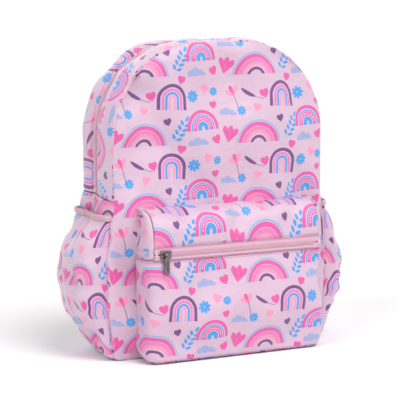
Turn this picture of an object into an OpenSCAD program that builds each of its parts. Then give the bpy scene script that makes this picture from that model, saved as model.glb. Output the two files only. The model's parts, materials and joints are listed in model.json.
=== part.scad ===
// School backpack: one main compartment closed by a zip that runs over the top, a zipped front
// pocket, two elasticated side pockets, a padded back and two shoulder straps.
// Origin at the middle of the base underside, +Z up, front panel facing -Y.

/* [Bag] */
// Height of the front panel
bag_h = 400; // [380:1:420]
// Width of the front panel
bag_w = 306; // [292:1:320]
// Depth of the main compartment
bag_d = 114; // [108:1:122]
// Radius of the two top corners of the front panel
top_r = 120; // [105:1:135]
// Radius of the bottom corners
foot_r = 14; // [10:1:18]
// How far each side draws in between the front seam and the back corner
side_draw = 6; // [3:1:9]
// How far each back corner rounds in
corner_draw = 16; // [10:1:20]
// Depth taken by each back corner
corner_d = 34; // [26:1:40]
// Thickness of a sewn fabric wall
wall = 1.6; // [1.2:0.1:2]
// Clear space between neighbouring pieces
gap = 0.1; // [0.05:0.05:0.2]
// Height of the line where the open front folds
fold_z = 262; // [250:1:270]

/* [Back] */
// Thickness of the back panel fabric
back_t = 0.8; // [0.6:0.1:1.2]
// Thickness of the foam in the back panel
foam_t = 4; // [3:0.5:6]
// Thickness of the lining
lining_t = 0.5; // [0.4:0.1:0.8]

/* [Zips] */
// Distance of the main zip behind the front seam
zip_setback = 62; // [58:1:66]
// Height of the ends of the main zip
zip_end_z = 209; // [200:1:215]
// Half of the visible width of the main zip, to the edge of its tape
main_tape_half = 5.5; // [5.2:0.1:6.5]
// Half of the visible width of the pocket zip, to the edge of its tape
pocket_tape_half = 7.5; // [6.5:0.1:8.5]
// Thickness of a zip tape
tape_t = 0.8; // [0.6:0.1:1]
// Width of one coil
coil_w = 2.3; // [2:0.1:2.6]
// Height of one coil above its tape
coil_t = 1.2; // [1:0.1:1.4]
// Half of the space between two coils, where the slider's post runs
coil_gap = 0.7; // [0.6:0.05:0.8]
// Length of a zip stop
stop_len = 2.5; // [2:0.5:4]

/* [Sliders] */
// Length of a slider along its zip
slider_len = 15; // [12:0.5:16]
// Width of a slider
slider_w = 10; // [8:0.5:10]
// Thickness of a slider's plates
slider_t = 1.2; // [1:0.1:1.4]
// Clear space between a slider's plates and the zip
slider_clear = 0.4; // [0.3:0.05:0.6]
// Radius of the bar that the pull hangs on
bar_r = 1; // [0.8:0.1:1.2]
// Running clearance of the pull's eye on that bar
bar_clear = 0.08; // [0.04:0.01:0.1]
// Length of a pull below its eye
pull_len = 22; // [18:1:26]
// Width of a pull
pull_w = 7.4; // [6:0.2:8]
// Thickness of a pull
pull_t = 1.6; // [1.4:0.1:2]

/* [Front pocket] */
// Width of the front pocket
pocket_w = 247; // [236:1:256]
// Depth of the front pocket
pocket_d = 49; // [42:1:54]
// Height of the pocket's bottom edge
pocket_low = 2; // [1:0.5:8]
// Height of the seam that joins the pocket's top to the front panel
pocket_top = 194; // [186:1:200]
// Height of the pocket zip
pocket_zip_z = 140; // [136:1:144]
// Distance of the parked pocket slider from the left side of the pocket
slider_park = 17; // [15:1:24]

/* [Side pockets] */
// Height of a side pocket's mouth
side_mouth_z = 184; // [176:1:190]
// Greatest bulge of a side pocket beyond the side of the bag
side_bulge = 46; // [38:1:50]
// Half of a side pocket's depth, front to back
side_half = 50; // [46:1:52]
// Fullness of a side pocket's section: 2 is an ellipse, more is boxier
side_fullness = 3.5; // [2:0.1:5]
// Height of the elastic binding on a mouth
binding_h = 6; // [5:0.5:8]

/* [Straps] */
// Width of a shoulder strap at its top
strap_w = 54; // [46:1:58]
// Width of a shoulder strap at its lower end
strap_end_w = 42; // [38:1:46]
// Thickness of a padded strap
strap_t = 10; // [8:0.5:12]
// Distance of a strap's top from the middle of the bag
strap_x = 44; // [40:1:48]
// Distance of a strap's lower end from the middle of the bag
strap_end_x = 70; // [64:1:76]
// Clear space between the edge of a strap's foam and its cover
foam_clear = 0.6; // [0.5:0.1:1]
// Height of the line where the straps leave the yoke
strap_z = 344; // [338:1:350]
// Height of the lower end of a padded strap
strap_end_z = 148; // [142:1:154]
// Thickness of the yoke patch that covers the strap ends
yoke_t = 3; // [2.5:0.5:3.5]
// Width of the webbing
web_w = 25; // [20:1:25]
// Thickness of the webbing
web_t = 2; // [1.5:0.5:2.5]
// Width of a ladder lock
lock_w = 34; // [32:1:38]
// Length of a ladder lock
lock_len = 26; // [24:1:28]
// Radius of the round bars of a ladder lock
lock_bar_r = 2; // [1.8:0.1:2.2]
// Height of the line where the lower webbing leaves its anchor tab
anchor_z = 42; // [38:1:46]

/* [Haul loop] */
// Width of the haul loop over its two sewn ends
loop_span = 84; // [76:1:92]
// Length of the haul loop from its seam to its far edge
loop_rise = 46; // [40:1:50]
// Width of the haul loop's two legs
loop_leg_w = 18; // [15:1:20]
// Droop of the haul loop below level
loop_droop = 60; // [55:1:64]

/* [Hidden] */
$fn = 48;
eps = 0.02;
y_front = -bag_d / 2;
y_back = bag_d / 2;
y_corner = y_back - corner_d;
arc_x = bag_w / 2 - top_r;
arc_z = bag_h - top_r;
y_zip = y_front + zip_setback;
y_pocket = y_front - pocket_d;
x_pocket = pocket_w / 2;
coil_out = coil_gap + coil_w;
coil_end_z = zip_end_z + stop_len + 2;
tall = 2 * bag_h;
inner_y = y_back - back_t - foam_t - lining_t - 3 * gap;
plate_z = coil_t + slider_clear;
bar_z = plate_z + slider_t + bar_r + 1.2;
eye_r = bar_r + 1.1;
pocket_inner = x_pocket - wall - gap;
top_bend_y = y_pocket + 14;
top_bend_z = pocket_top - 14;
strap_y = y_back + yoke_t + 0.2;
strap_mid_y = strap_y + strap_t / 2;
lock_top_z = strap_end_z - 14;
lock_low_z = lock_top_z - lock_len;
main_slider_z = coil_end_z + slider_len / 2;
side_mid_y = y_front + side_half + wall + 0.6;
loop_z = strap_z + 32;

// Half width of the bag beyond the corner centres at depth y
function radius_at(y) =
    y < y_corner
    ? top_r - side_draw * (y - y_front) / (y_corner - y_front)
    : top_r - side_draw - corner_draw * (y - y_corner) / corner_d;

// Height and share of the full bulge, from a side pocket's foot to its mouth
side_rows = [
    [2, 0.06],
    [30, 0.48],
    [70, 0.88],
    [108, 1],
    [150, 0.74],
    [side_mouth_z, 0.34]
];

// ---- shared shapes ----

// Front outline of the bag: round top corners, small foot corners, grown outwards by grow
module outline(r, grow = 0) {
    half = arc_x + r + grow;
    low = -grow;
    foot = foot_r + grow;
    for (s = [-1, 1]) {
        translate([s * arc_x, arc_z]) circle(r + grow);
        translate([s * (half - foot), low + foot]) circle(foot);
    }
    translate([-arc_x, low + foot]) square([2 * arc_x, arc_z + r + grow - low - foot]);
    translate([-half, low + foot]) square([2 * half, arc_z - low - foot]);
    translate([-(half - foot), low]) square([2 * (half - foot), 2 * foot]);
}

// Flat sheet across the bag, t thick, with its rear face at y
module sheet(y, t, r, grow = 0) {
    translate([0, y, 0]) rotate([90, 0, 0]) linear_extrude(t) outline(r, grow);
}

// Solid loft of the bag from depth y1 to depth y2
module core(y1, y2, grow = 0) {
    ys = y1 < y_corner && y2 > y_corner ? [y1, y_corner, y2] : [y1, y2];
    for (i = [0 : len(ys) - 2]) {
        hull() {
            sheet(ys[i] + eps, eps, radius_at(ys[i]), grow);
            sheet(ys[i + 1], eps, radius_at(ys[i + 1]), grow);
        }
    }
}

// Band of wall round the bag from y1 to y2: its outside is grown by out, and it is t thick
module band(y1, y2, out, t) {
    difference() {
        core(y1, y2, out);
        core(y1 - 1, y2 + 1, out - t);
    }
}

// Everything between two heights
module between(z1, z2) {
    intersection() {
        children();
        translate([-tall / 2, -tall / 2, z1]) cube([tall, tall, z2 - z1]);
    }
}

// One side of the bag only: s is -1 for left and 1 for right
module half_space(s) {
    intersection() {
        children();
        translate([s > 0 ? 0 : -tall, -tall / 2, -tall / 2]) cube([tall, tall, tall]);
    }
}

// The panels, sides and back in the printed fabric
module printed() color([0.93, 0.76, 0.86]) children();

// Lining cloth
module lined() color([0.86, 0.62, 0.76]) children();

// Zip tape, coil and webbing
module pink() color([0.89, 0.6, 0.72]) children();

// Plated zip metal
module metal() color([0.45, 0.43, 0.45]) children();

// ---- main body ----

module back_panel() {
    printed() sheet(y_back, back_t, radius_at(y_back));
}

module back_foam() {
    color([0.94, 0.93, 0.9])
        sheet(y_back - back_t - gap, foam_t, radius_at(y_back), -wall - 1);
}

module back_lining() {
    lined() sheet(y_back - back_t - foam_t - 2 * gap, lining_t, radius_at(y_back), -wall - 1);
}

// Plan of the flat base, drawn in by inset on every side
module base_plan(inset) {
    front = arc_x + top_r - foot_r - inset;
    corner = arc_x + top_r - side_draw - foot_r - inset;
    back = corner - corner_draw;
    y1 = y_front + wall + inset;
    y2 = y_back - back_t - inset;
    polygon([
        [-front, y1], [front, y1], [corner, y_corner],
        [back, y2], [-back, y2], [-corner, y_corner]
    ]);
}

module base_panel() {
    printed() linear_extrude(wall) base_plan(gap);
}

module front_panel_lower() {
    printed() between(-1, fold_z - gap) sheet(y_front + wall, wall, top_r);
}

module front_panel_upper() {
    printed() between(fold_z + gap, tall) sheet(y_front + wall, wall, top_r);
}

module side_panel(s) {
    printed() difference() {
        half_space(s) between(-1, zip_end_z - gap)
            band(y_front + wall + gap, y_back - back_t - gap, 0, wall);
        translate([0, 0, -1]) linear_extrude(wall + 2) base_plan(0);
        translate([-arc_x, -tall / 2, -1]) cube([2 * arc_x, tall, 2 * wall + 1]);
    }
}

// Narrow gusset between the front seam and the zip
module front_gusset(z1, z2) {
    printed() between(z1, z2)
        band(y_front + wall + gap, y_zip - main_tape_half - gap, 0, wall);
}

module rear_gusset() {
    printed() between(zip_end_z + gap, tall)
        band(y_zip + main_tape_half + gap, y_back - back_t - gap, 0, wall);
}

// Thin cloth liner of the lower body, kept below the zip
module body_lining() {
    top_z = zip_end_z - 4;
    out = -wall - 0.3;
    lined() {
        between(-1, top_z) band(y_front + wall + 0.5, inner_y, out, lining_t);
        between(-1, top_z) sheet(y_front + wall + 0.5 + lining_t, lining_t, top_r, out);
    }
}

module flap_lining() {
    lined() between(fold_z + 4, tall)
        sheet(y_front + wall + gap + lining_t, lining_t, top_r, -wall - 1);
}

// ---- main zip ----

// One half of the main zip's tape: s is -1 for the front half and 1 for the rear half
module main_tape(s, z1, z2) {
    near = y_zip + s * coil_gap;
    far = y_zip + s * main_tape_half;
    pink() between(z1, z2) band(min(near, far), max(near, far), -0.2, tape_t);
}

module main_coil(s, z1, z2) {
    near = y_zip + s * coil_gap;
    far = y_zip + s * coil_out;
    pink() between(z1, z2) band(min(near, far), max(near, far), coil_t, coil_t);
}

module main_zip_stops() {
    x = arc_x + radius_at(y_zip);
    metal() for (s = [-1, 1]) {
        translate([s * (x + coil_t / 2 + gap), y_zip, zip_end_z + 1 + stop_len / 2])
            cube([coil_t, 2 * coil_out, stop_len], center = true);
    }
}

// ---- sliders and pulls ----

// Slider drawn lying on a zip along X with its outside up. The bar runs along the zip
// when along is true, and across it when along is false.
module slider_body(along) {
    bottom_z = -0.2 - tape_t - slider_clear - slider_t;
    post_len = 2;
    post_w = 2 * coil_gap - 0.6;
    leg = 1.4;
    bar_half = 3.4;
    metal() {
        translate([-slider_len / 2, -slider_w / 2, plate_z]) cube([slider_len, slider_w, slider_t]);
        translate([-slider_len / 2, -slider_w / 2, bottom_z]) cube([slider_len, slider_w, slider_t]);
        translate([-slider_len / 2, -post_w / 2, bottom_z + eps])
            cube([post_len, post_w, plate_z - bottom_z]);
        rotate([0, 0, along ? 0 : 90]) {
            translate([0, 0, bar_z]) rotate([0, 90, 0])
                cylinder(r = bar_r, h = 2 * bar_half, center = true);
            for (s = [-1, 1]) {
                translate([s * bar_half - leg / 2, -bar_r, plate_z + slider_t - eps])
                    cube([leg, 2 * bar_r, bar_z + bar_r - plate_z - slider_t + eps]);
            }
        }
    }
}

// Pull hanging down from a bar along X at the origin
module pull() {
    eye_half = 2;
    neck = 4;
    recess_w = 2.4;
    recess_len = pull_len - 9;
    metal() difference() {
        union() {
            rotate([0, 90, 0]) cylinder(r = eye_r, h = 2 * eye_half, center = true);
            translate([-eye_half, -pull_t / 2, -neck - 1]) cube([2 * eye_half, pull_t, neck]);
            translate([-pull_w / 2, -pull_t / 2, -pull_len - eye_r])
                cube([pull_w, pull_t, pull_len - neck + eye_r]);
        }
        rotate([0, 90, 0]) cylinder(r = bar_r + bar_clear, h = 4 * eye_half, center = true);
        translate([-recess_w / 2, -pull_t, -pull_len - eye_r + 2.5])
            cube([recess_w, pull_t, recess_len]);
    }
}

module main_slider() {
    translate([arc_x + radius_at(y_zip), y_zip, main_slider_z])
        rotate([0, 0, 180]) rotate([0, -90, 0]) slider_body(false);
}

module main_pull() {
    translate([arc_x + radius_at(y_zip) + bar_z, y_zip, main_slider_z]) rotate([0, 0, 90]) pull();
}

module pocket_slider() {
    translate([-x_pocket + slider_park, y_pocket, pocket_zip_z]) rotate([90, 0, 0]) slider_body(true);
}

module pocket_pull() {
    translate([-x_pocket + slider_park, y_pocket - bar_z, pocket_zip_z]) pull();
}

// ---- front pocket ----

module pocket_sheet(z1, z2) {
    translate([-pocket_inner, y_pocket, z1]) cube([2 * pocket_inner, wall, z2 - z1]);
}

module front_pocket_face() {
    printed() pocket_sheet(pocket_low, pocket_zip_z - pocket_tape_half - gap);
}

// Sheet that runs from the zip up and back to the seam on the front panel
module front_pocket_top() {
    low = pocket_zip_z + pocket_tape_half + gap;
    printed() translate([-pocket_inner, 0, 0]) rotate([90, 0, 90])
        linear_extrude(2 * pocket_inner)
            polygon([
                [y_pocket, low],
                [y_pocket, top_bend_z - 14],
                [top_bend_y, top_bend_z],
                [y_front - gap, pocket_top],
                [y_front - gap, pocket_top - wall],
                [top_bend_y + wall / 2, top_bend_z - wall],
                [y_pocket + wall, top_bend_z - 14 - wall / 2],
                [y_pocket + wall, low]
            ]);
}

module front_pocket_side(s) {
    printed() translate([s > 0 ? x_pocket - wall : -x_pocket, 0, 0]) rotate([90, 0, 90])
        linear_extrude(wall)
            polygon([
                [y_front - gap, pocket_low],
                [y_pocket, pocket_low],
                [y_pocket, top_bend_z - 14],
                [top_bend_y, top_bend_z],
                [y_front - gap, pocket_top]
            ]);
}

module front_pocket_bottom() {
    printed() translate([-pocket_inner, y_pocket + wall + gap, pocket_low])
        cube([2 * pocket_inner, pocket_d - wall - 2 * gap, wall]);
}

// s is -1 for the lower half and 1 for the upper half
module pocket_tape(s) {
    z = s > 0 ? pocket_zip_z + coil_gap : pocket_zip_z - pocket_tape_half;
    pink() translate([-pocket_inner, y_pocket + 0.2, z])
        cube([2 * pocket_inner, tape_t, pocket_tape_half - coil_gap]);
}

module pocket_coil(s) {
    half = pocket_inner - stop_len - 3;
    z = s > 0 ? pocket_zip_z + coil_gap : pocket_zip_z - coil_out;
    pink() translate([-half, y_pocket - coil_t, z]) cube([2 * half, coil_t, coil_w]);
}

module pocket_zip_stops() {
    x = pocket_inner - stop_len / 2 - 2;
    metal() for (s = [-1, 1]) {
        translate([s * x, y_pocket - coil_t / 2, pocket_zip_z])
            cube([stop_len, coil_t, 2 * coil_out], center = true);
    }
}

// ---- side pockets ----

// Oval of half sizes a and b whose ends are fuller than those of an ellipse
module full_oval(a, b) {
    steps = 40;
    power = 2 / side_fullness;
    polygon([
        for (i = [0 : steps - 1])
            let (c = cos(360 * i / steps), d = sin(360 * i / steps))
                [a * sign(c) * pow(abs(c), power), b * sign(d) * pow(abs(d), power)]
    ]);
}

// Flat layer of a side pocket at height z
module side_layer(s, z, bulge, shrink) {
    translate([s * (arc_x + top_r - side_draw), side_mid_y, z])
        linear_extrude(eps) full_oval(bulge + side_draw - shrink, side_half - shrink);
}

// Convex bulge of a side pocket, drawn in by shrink and raised by the same amount
module side_hull(s, shrink) {
    hull() {
        for (row = side_rows) {
            side_layer(s, row[0] + shrink, side_bulge * row[1], shrink);
        }
    }
}

module side_pocket(s) {
    printed() half_space(s) difference() {
        side_hull(s, 0);
        side_hull(s, wall);
        core(y_front, y_back, gap);
    }
}

module side_pocket_binding(s) {
    z = side_mouth_z + gap;
    bulge = side_bulge * side_rows[len(side_rows) - 1][1];
    pink() half_space(s) difference() {
        translate([s * (arc_x + top_r - side_draw), side_mid_y, z]) linear_extrude(binding_h)
            difference() {
                full_oval(bulge + side_draw + 0.6, side_half + 0.4);
                full_oval(bulge + side_draw - wall - 0.6, side_half - wall - 0.6);
            }
        core(y_front, y_back, gap);
    }
}

// ---- straps and loop ----

module strap_yoke() {
    half = strap_x + strap_w / 2 + 3;
    printed() translate([-half, y_back + gap, strap_z + 2]) cube([2 * half, yoke_t - gap, 26]);
}

// Flat outline of a padded strap, drawn in by inset, with its top edge raised by open
module strap_plan(s, inset, open) {
    top = strap_w / 2 - inset;
    end = strap_end_w / 2 - inset;
    round_r = 10;
    polygon([
        [s * strap_x - top, strap_z + open],
        [s * strap_x + top, strap_z + open],
        [s * strap_end_x + end, strap_end_z + round_r],
        [s * strap_end_x + end - round_r, strap_end_z + inset],
        [s * strap_end_x - end + round_r, strap_end_z + inset],
        [s * strap_end_x - end, strap_end_z + round_r]
    ]);
}

// Fabric sleeve of a strap, open at the top where the yoke closes it
module strap_cover(s) {
    printed() difference() {
        translate([0, strap_y + strap_t, 0]) rotate([90, 0, 0])
            linear_extrude(strap_t) strap_plan(s, 0, 0);
        translate([0, strap_y + strap_t - 1, 0]) rotate([90, 0, 0])
            linear_extrude(strap_t - 2) strap_plan(s, 1, 1);
    }
}

module strap_foam(s) {
    color([0.94, 0.93, 0.9]) translate([0, strap_y + strap_t - 1 - gap, 0]) rotate([90, 0, 0])
        linear_extrude(strap_t - 2 - 2 * gap) strap_plan(s, 1 + foam_clear, -1);
}

// Short webbing that holds the ladder lock on the strap's end
module ladder_loop(s) {
    ring_r = lock_bar_r + 0.1;
    pink() translate([s * strap_end_x, strap_mid_y, lock_top_z - lock_bar_r]) difference() {
        union() {
            rotate([0, 90, 0]) cylinder(r = ring_r + 1.2, h = web_w, center = true);
            translate([-web_w / 2, -web_t / 2, 0])
                cube([web_w, web_t, strap_end_z - lock_top_z + lock_bar_r - gap]);
        }
        rotate([0, 90, 0]) cylinder(r = ring_r, h = 2 * web_w, center = true);
    }
}

// Plastic frame with a round bar at each end and a flat bar between them
module ladder_lock(s) {
    rail = (lock_w - web_w) / 2 - 0.4;
    color([0.85, 0.55, 0.68]) translate([s * strap_end_x, strap_mid_y, lock_low_z]) {
        for (side = [-1, 1]) {
            translate([side * (lock_w - rail) / 2 - rail / 2, -lock_bar_r, 0])
                cube([rail, 2 * lock_bar_r, lock_len]);
        }
        for (z = [lock_bar_r, lock_len - lock_bar_r]) {
            translate([0, 0, z]) rotate([0, 90, 0])
                cylinder(r = lock_bar_r, h = lock_w - 1, center = true);
        }
        translate([-lock_w / 2 + 1, -1, lock_len / 2 - 2.5]) cube([lock_w - 2, 2, 5]);
    }
}

module lower_webbing(s) {
    pink() translate([s * strap_end_x - web_w / 2, strap_mid_y - web_t / 2, anchor_z])
        cube([web_w, web_t, lock_low_z - anchor_z - 2]);
}

// Triangular tab sewn into the bottom back corner
module anchor_tab(s) {
    tab_t = strap_mid_y + web_t / 2 - y_back - 2 * gap;
    printed() translate([0, y_back + gap + tab_t, 0]) rotate([90, 0, 0]) linear_extrude(tab_t)
        polygon([
            [s * (strap_end_x - web_w / 2 - 2), anchor_z - gap],
            [s * (strap_end_x + web_w / 2 + 2), anchor_z - gap],
            [s * (strap_end_x + 38), foot_r + 2],
            [s * (strap_end_x + 10), foot_r + 2]
        ]);
}

// Flat loop of webbing sewn at both ends, drooping behind the bag
module haul_loop() {
    half = loop_span / 2;
    round_r = 14;
    hole_r = 6;
    foot = 1.5;
    hole_half = half - loop_leg_w;
    hole_rise = loop_rise - loop_leg_w + 3;
    pink() translate([0, y_back + yoke_t, loop_z]) rotate([-loop_droop, 0, 0])
        linear_extrude(web_t, center = true) difference() {
            union() {
                translate([-half, foot]) square([2 * half, loop_rise - foot - round_r]);
                translate([round_r - half, foot]) square([2 * (half - round_r), loop_rise - foot]);
                for (s = [-1, 1]) translate([s * (half - round_r), loop_rise - round_r]) circle(round_r);
            }
            translate([-hole_half, -1]) square([2 * hole_half, hole_rise - hole_r + 1]);
            translate([hole_r - hole_half, -1]) square([2 * (hole_half - hole_r), hole_rise + 1]);
            for (s = [-1, 1]) translate([s * (hole_half - hole_r), hole_rise - hole_r]) circle(hole_r);
        }
}

back_panel();
back_foam();
back_lining();
base_panel();
front_panel_lower();
side_panel(-1);  // side_panel_left
side_panel(1);  // side_panel_right
front_gusset(zip_end_z + gap, fold_z - gap);  // front_gusset_ends
rear_gusset();
body_lining();
main_tape(-1, zip_end_z + gap, fold_z - gap);  // main_zip_tape_front_ends
main_tape(1, zip_end_z + gap, tall);  // main_zip_tape_rear
main_coil(-1, coil_end_z, fold_z - gap);  // main_zip_coil_front_ends
main_coil(1, coil_end_z, tall);  // main_zip_coil_rear
main_zip_stops();
front_panel_upper();
front_gusset(fold_z + gap, tall);  // front_gusset_upper
flap_lining();
main_tape(-1, fold_z + gap, tall);  // main_zip_tape_front
main_coil(-1, fold_z + gap, tall);  // main_zip_coil_front
main_slider();
main_pull();
front_pocket_face();
front_pocket_top();
front_pocket_bottom();
front_pocket_side(-1);  // front_pocket_side_left
front_pocket_side(1);  // front_pocket_side_right
pocket_tape(1);  // pocket_zip_tape_upper
pocket_tape(-1);  // pocket_zip_tape_lower
pocket_coil(1);  // pocket_zip_coil_upper
pocket_coil(-1);  // pocket_zip_coil_lower
pocket_zip_stops();
pocket_slider();
pocket_pull();
side_pocket(-1);  // side_pocket_left
side_pocket(1);  // side_pocket_right
side_pocket_binding(-1);  // side_pocket_binding_left
side_pocket_binding(1);  // side_pocket_binding_right
strap_yoke();
haul_loop();
strap_cover(-1);  // strap_cover_left
strap_cover(1);  // strap_cover_right
strap_foam(-1);  // strap_foam_left
strap_foam(1);  // strap_foam_right
ladder_loop(-1);  // ladder_loop_left
ladder_loop(1);  // ladder_loop_right
ladder_lock(-1);  // ladder_lock_left
ladder_lock(1);  // ladder_lock_right
lower_webbing(-1);  // lower_webbing_left
lower_webbing(1);  // lower_webbing_right
anchor_tab(-1);  // anchor_tab_left
anchor_tab(1);  // anchor_tab_right
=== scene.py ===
"""School backpack in printed fabric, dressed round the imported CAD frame. Lengths are in metres."""

import json
import math

import bpy
import numpy as np
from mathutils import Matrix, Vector


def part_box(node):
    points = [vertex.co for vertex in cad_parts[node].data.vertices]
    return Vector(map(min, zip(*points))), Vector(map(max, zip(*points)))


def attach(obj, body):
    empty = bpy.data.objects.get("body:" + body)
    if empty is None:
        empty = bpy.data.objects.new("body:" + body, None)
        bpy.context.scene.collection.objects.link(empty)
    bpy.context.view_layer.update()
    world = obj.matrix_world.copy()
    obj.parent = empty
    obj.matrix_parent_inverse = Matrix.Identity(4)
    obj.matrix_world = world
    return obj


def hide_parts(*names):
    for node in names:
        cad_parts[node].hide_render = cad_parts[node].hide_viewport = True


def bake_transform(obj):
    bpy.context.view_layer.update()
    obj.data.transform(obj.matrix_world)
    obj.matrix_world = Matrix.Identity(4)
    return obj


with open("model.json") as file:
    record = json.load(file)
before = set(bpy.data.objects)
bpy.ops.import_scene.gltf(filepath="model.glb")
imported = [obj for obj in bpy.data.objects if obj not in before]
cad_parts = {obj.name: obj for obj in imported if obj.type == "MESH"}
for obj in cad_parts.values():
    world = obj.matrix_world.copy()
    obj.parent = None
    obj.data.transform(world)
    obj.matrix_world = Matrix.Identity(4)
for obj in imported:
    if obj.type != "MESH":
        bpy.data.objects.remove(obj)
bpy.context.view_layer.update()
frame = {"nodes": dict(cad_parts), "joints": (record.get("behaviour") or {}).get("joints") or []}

# ---- places read from the CAD frame ----

HALF_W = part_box("front_panel_upper")[1].x
TOP_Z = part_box("front_panel_upper")[1].z
Y_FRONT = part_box("front_panel_lower")[0].y
Y_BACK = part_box("back_panel")[1].y
ZIP_FRONT_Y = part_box("main_zip_tape_front")[0].y
ZIP_BACK_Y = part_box("main_zip_tape_rear")[1].y
ZIP_Y = (ZIP_FRONT_Y + ZIP_BACK_Y) / 2
ZIP_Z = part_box("rear_gusset")[0].z
COIL_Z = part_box("main_zip_coil_rear")[0].z
POCKET_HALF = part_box("front_pocket_side_right")[1].x
POCKET_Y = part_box("front_pocket_face")[0].y
POCKET_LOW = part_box("front_pocket_face")[0].z
POCKET_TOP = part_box("front_pocket_top")[1].z
POCKET_ZIP_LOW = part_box("pocket_zip_tape_lower")[0].z
POCKET_ZIP_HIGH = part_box("pocket_zip_tape_upper")[1].z
SIDE_FRONT_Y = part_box("side_pocket_left")[0].y
SIDE_BACK_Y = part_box("side_pocket_left")[1].y
MOUTH_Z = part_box("side_pocket_binding_left")[0].z

# ---- soft shape of the bag ----

TOP_R = 0.120
SIDE_DRAW = 0.006
CORNER_DRAW = 0.016
CORNER_D = 0.034
CROWN = 0.001
FRONT_SWELL = 0.003
REAR_SWELL = 0.005
FLARE = 0.007
FOOT_FRONT_R = 0.007
FOOT_BACK_R = 0.034
FOOT_ARC = 0.030
ARC_X = HALF_W - TOP_R
ARC_Z = TOP_Z - TOP_R
ARC = math.pi / 2 * TOP_R
ARCH = 2 * ARC_Z + 2 * ARC + 2 * ARC_X
CORNER_Y = Y_BACK - CORNER_D
CENTRE = np.array([0, 0, 0.19])
BEND_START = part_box("main_slider")[1].z + 0.002
BEND_END = 0.33
SEED = 7


def curve(knots, t):
    """Smooth curve through (place, value) knots, read at the places t."""
    x, y = np.array(knots, float).T
    slope = np.gradient(y, x)
    t = np.clip(t, x[0], x[-1])
    i = np.clip(np.searchsorted(x, t, side="right") - 1, 0, len(x) - 2)
    h = x[i + 1] - x[i]
    f = (t - x[i]) / h
    return (
        (2 * f**3 - 3 * f**2 + 1) * y[i]
        + (f**3 - 2 * f**2 + f) * h * slope[i]
        + (3 * f**2 - 2 * f**3) * y[i + 1]
        + (f**3 - f**2) * h * slope[i + 1]
    )


def hump(t):
    """0 at t 0 and at t 1, and 1 half way between."""
    return np.sin(math.pi * np.clip(t, 0, 1))


def unit(vectors):
    """Vectors scaled to length 1."""
    return vectors / np.linalg.norm(vectors, axis=-1, keepdims=True)


def run_along(path):
    """Distance run from the start of a path to each of its points."""
    return np.concatenate([[0], np.cumsum(np.linalg.norm(np.diff(path, axis=0), axis=1))])


def read_at(at, run, values):
    """Vectors given along a path, read at other distances along it."""
    return np.stack([np.interp(at, run, values[:, k]) for k in range(3)], axis=1)


def grid_faces(rows, columns):
    """Faces of a grid of points."""
    i, j = np.meshgrid(np.arange(rows - 1), np.arange(columns - 1), indexing="ij")
    a = (i * columns + j).ravel()
    return np.stack([a, a + 1, a + columns + 1, a + columns], axis=1)


def tube_faces(rings, sides):
    """Faces between the rings of a tube, without its two ends."""
    i, j = np.meshgrid(np.arange(rings - 1), np.arange(sides), indexing="ij")
    k = (j + 1) % sides
    corners = [i * sides + j, i * sides + k, (i + 1) * sides + k, (i + 1) * sides + j]
    return np.stack(corners, axis=-1).reshape(-1, 4)


def from_edge(shape):
    """How many steps each point of a grid lies in from its nearest edge."""
    down, across = (np.minimum(np.arange(count), np.arange(count)[::-1]) for count in shape)
    return np.minimum(down[:, None], across[None, :])


def edge_row(edge, inward):
    """Index of the row or column of a grid that lies some steps inward from its l, r, b or t edge."""
    rows = {"l": np.s_[:, inward], "r": np.s_[:, -1 - inward], "b": np.s_[inward], "t": np.s_[-1 - inward]}
    return rows[edge]


def corner_radius(y):
    """Radius of the bag's top corners at depth y: both gussets swell, and the back corner is rounded."""
    share = np.clip((y - Y_FRONT) / (CORNER_Y - Y_FRONT), 0, 1)
    turn = np.clip((y - CORNER_Y) / CORNER_D, 0, 1)
    swell = FRONT_SWELL * hump((y - Y_FRONT) / (ZIP_Y - Y_FRONT))
    swell = swell + REAR_SWELL * hump((y - ZIP_Y) / (Y_BACK - ZIP_Y))
    return TOP_R - SIDE_DRAW * share - CORNER_DRAW * (1 - np.sqrt(np.clip(1 - turn**2, 0, 1))) + swell


def arch(d, y):
    """Points of the bag's outline at distance d from the left foot over the top, at depth y."""
    d, y = np.broadcast_arrays(np.asarray(d, float), np.asarray(y, float))
    side = np.where(d < ARCH / 2, -1.0, 1.0)
    m = np.minimum(d, ARCH - d)
    r = corner_radius(y)
    foot = FOOT_FRONT_R + (FOOT_BACK_R - FOOT_FRONT_R) * np.clip((y - Y_FRONT) / (Y_BACK - Y_FRONT), 0, 1)
    foot_turn = np.clip(m / FOOT_ARC, 0, 1) * math.pi / 2
    leg_share = np.clip((m - FOOT_ARC) / (ARC_Z - FOOT_ARC), 0, 1)
    turn = np.clip((m - ARC_Z) / TOP_R, 0, math.pi / 2)
    leg_z = foot * (1 - np.cos(foot_turn)) + (ARC_Z - foot) * leg_share
    flare = FLARE * hump(leg_z / 0.2) * (m < ARC_Z)
    x = ARC_X + r * np.cos(turn) - foot * (1 - np.sin(foot_turn)) + flare
    x = x - np.clip(m - ARC_Z - ARC, 0, None)
    z = leg_z + r * np.sin(turn)
    z = z + CROWN * np.sin(turn) ** 2 * (1 - (x / HALF_W) ** 2)
    return np.stack([side * x, y, z], axis=-1)


def ticks(length, step):
    """Shares 0 to 1 along a cloth: even steps, with close ones at the two seams."""
    inner = np.linspace(0.003, length - 0.003, max(3, int(round(length / step))))
    return np.concatenate([[0, 0.0012], inner, [length - 0.0012, length]]) / length


def grid_normals(points):
    """Unit normals of a grid of points."""
    across = np.gradient(points, axis=1)
    up = np.gradient(points, axis=0)
    n = np.cross(across, up)
    n = n / np.maximum(np.linalg.norm(n, axis=2, keepdims=True), 1e-12)
    return n


# ---- cloths, each one a grid of points ----

SHEETS = {}
# rows over which a ripple fades out towards a seam, and how deep the first rows of a seam are turned in
CALM_ROWS = 6
TUCK = (1.0, 0.3)


def frame_hinge_z(joint):
    """Height of a joint's axis in the record."""
    return next(j["pos_m"][2] for j in frame["joints"] if j["name"] == joint)


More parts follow.
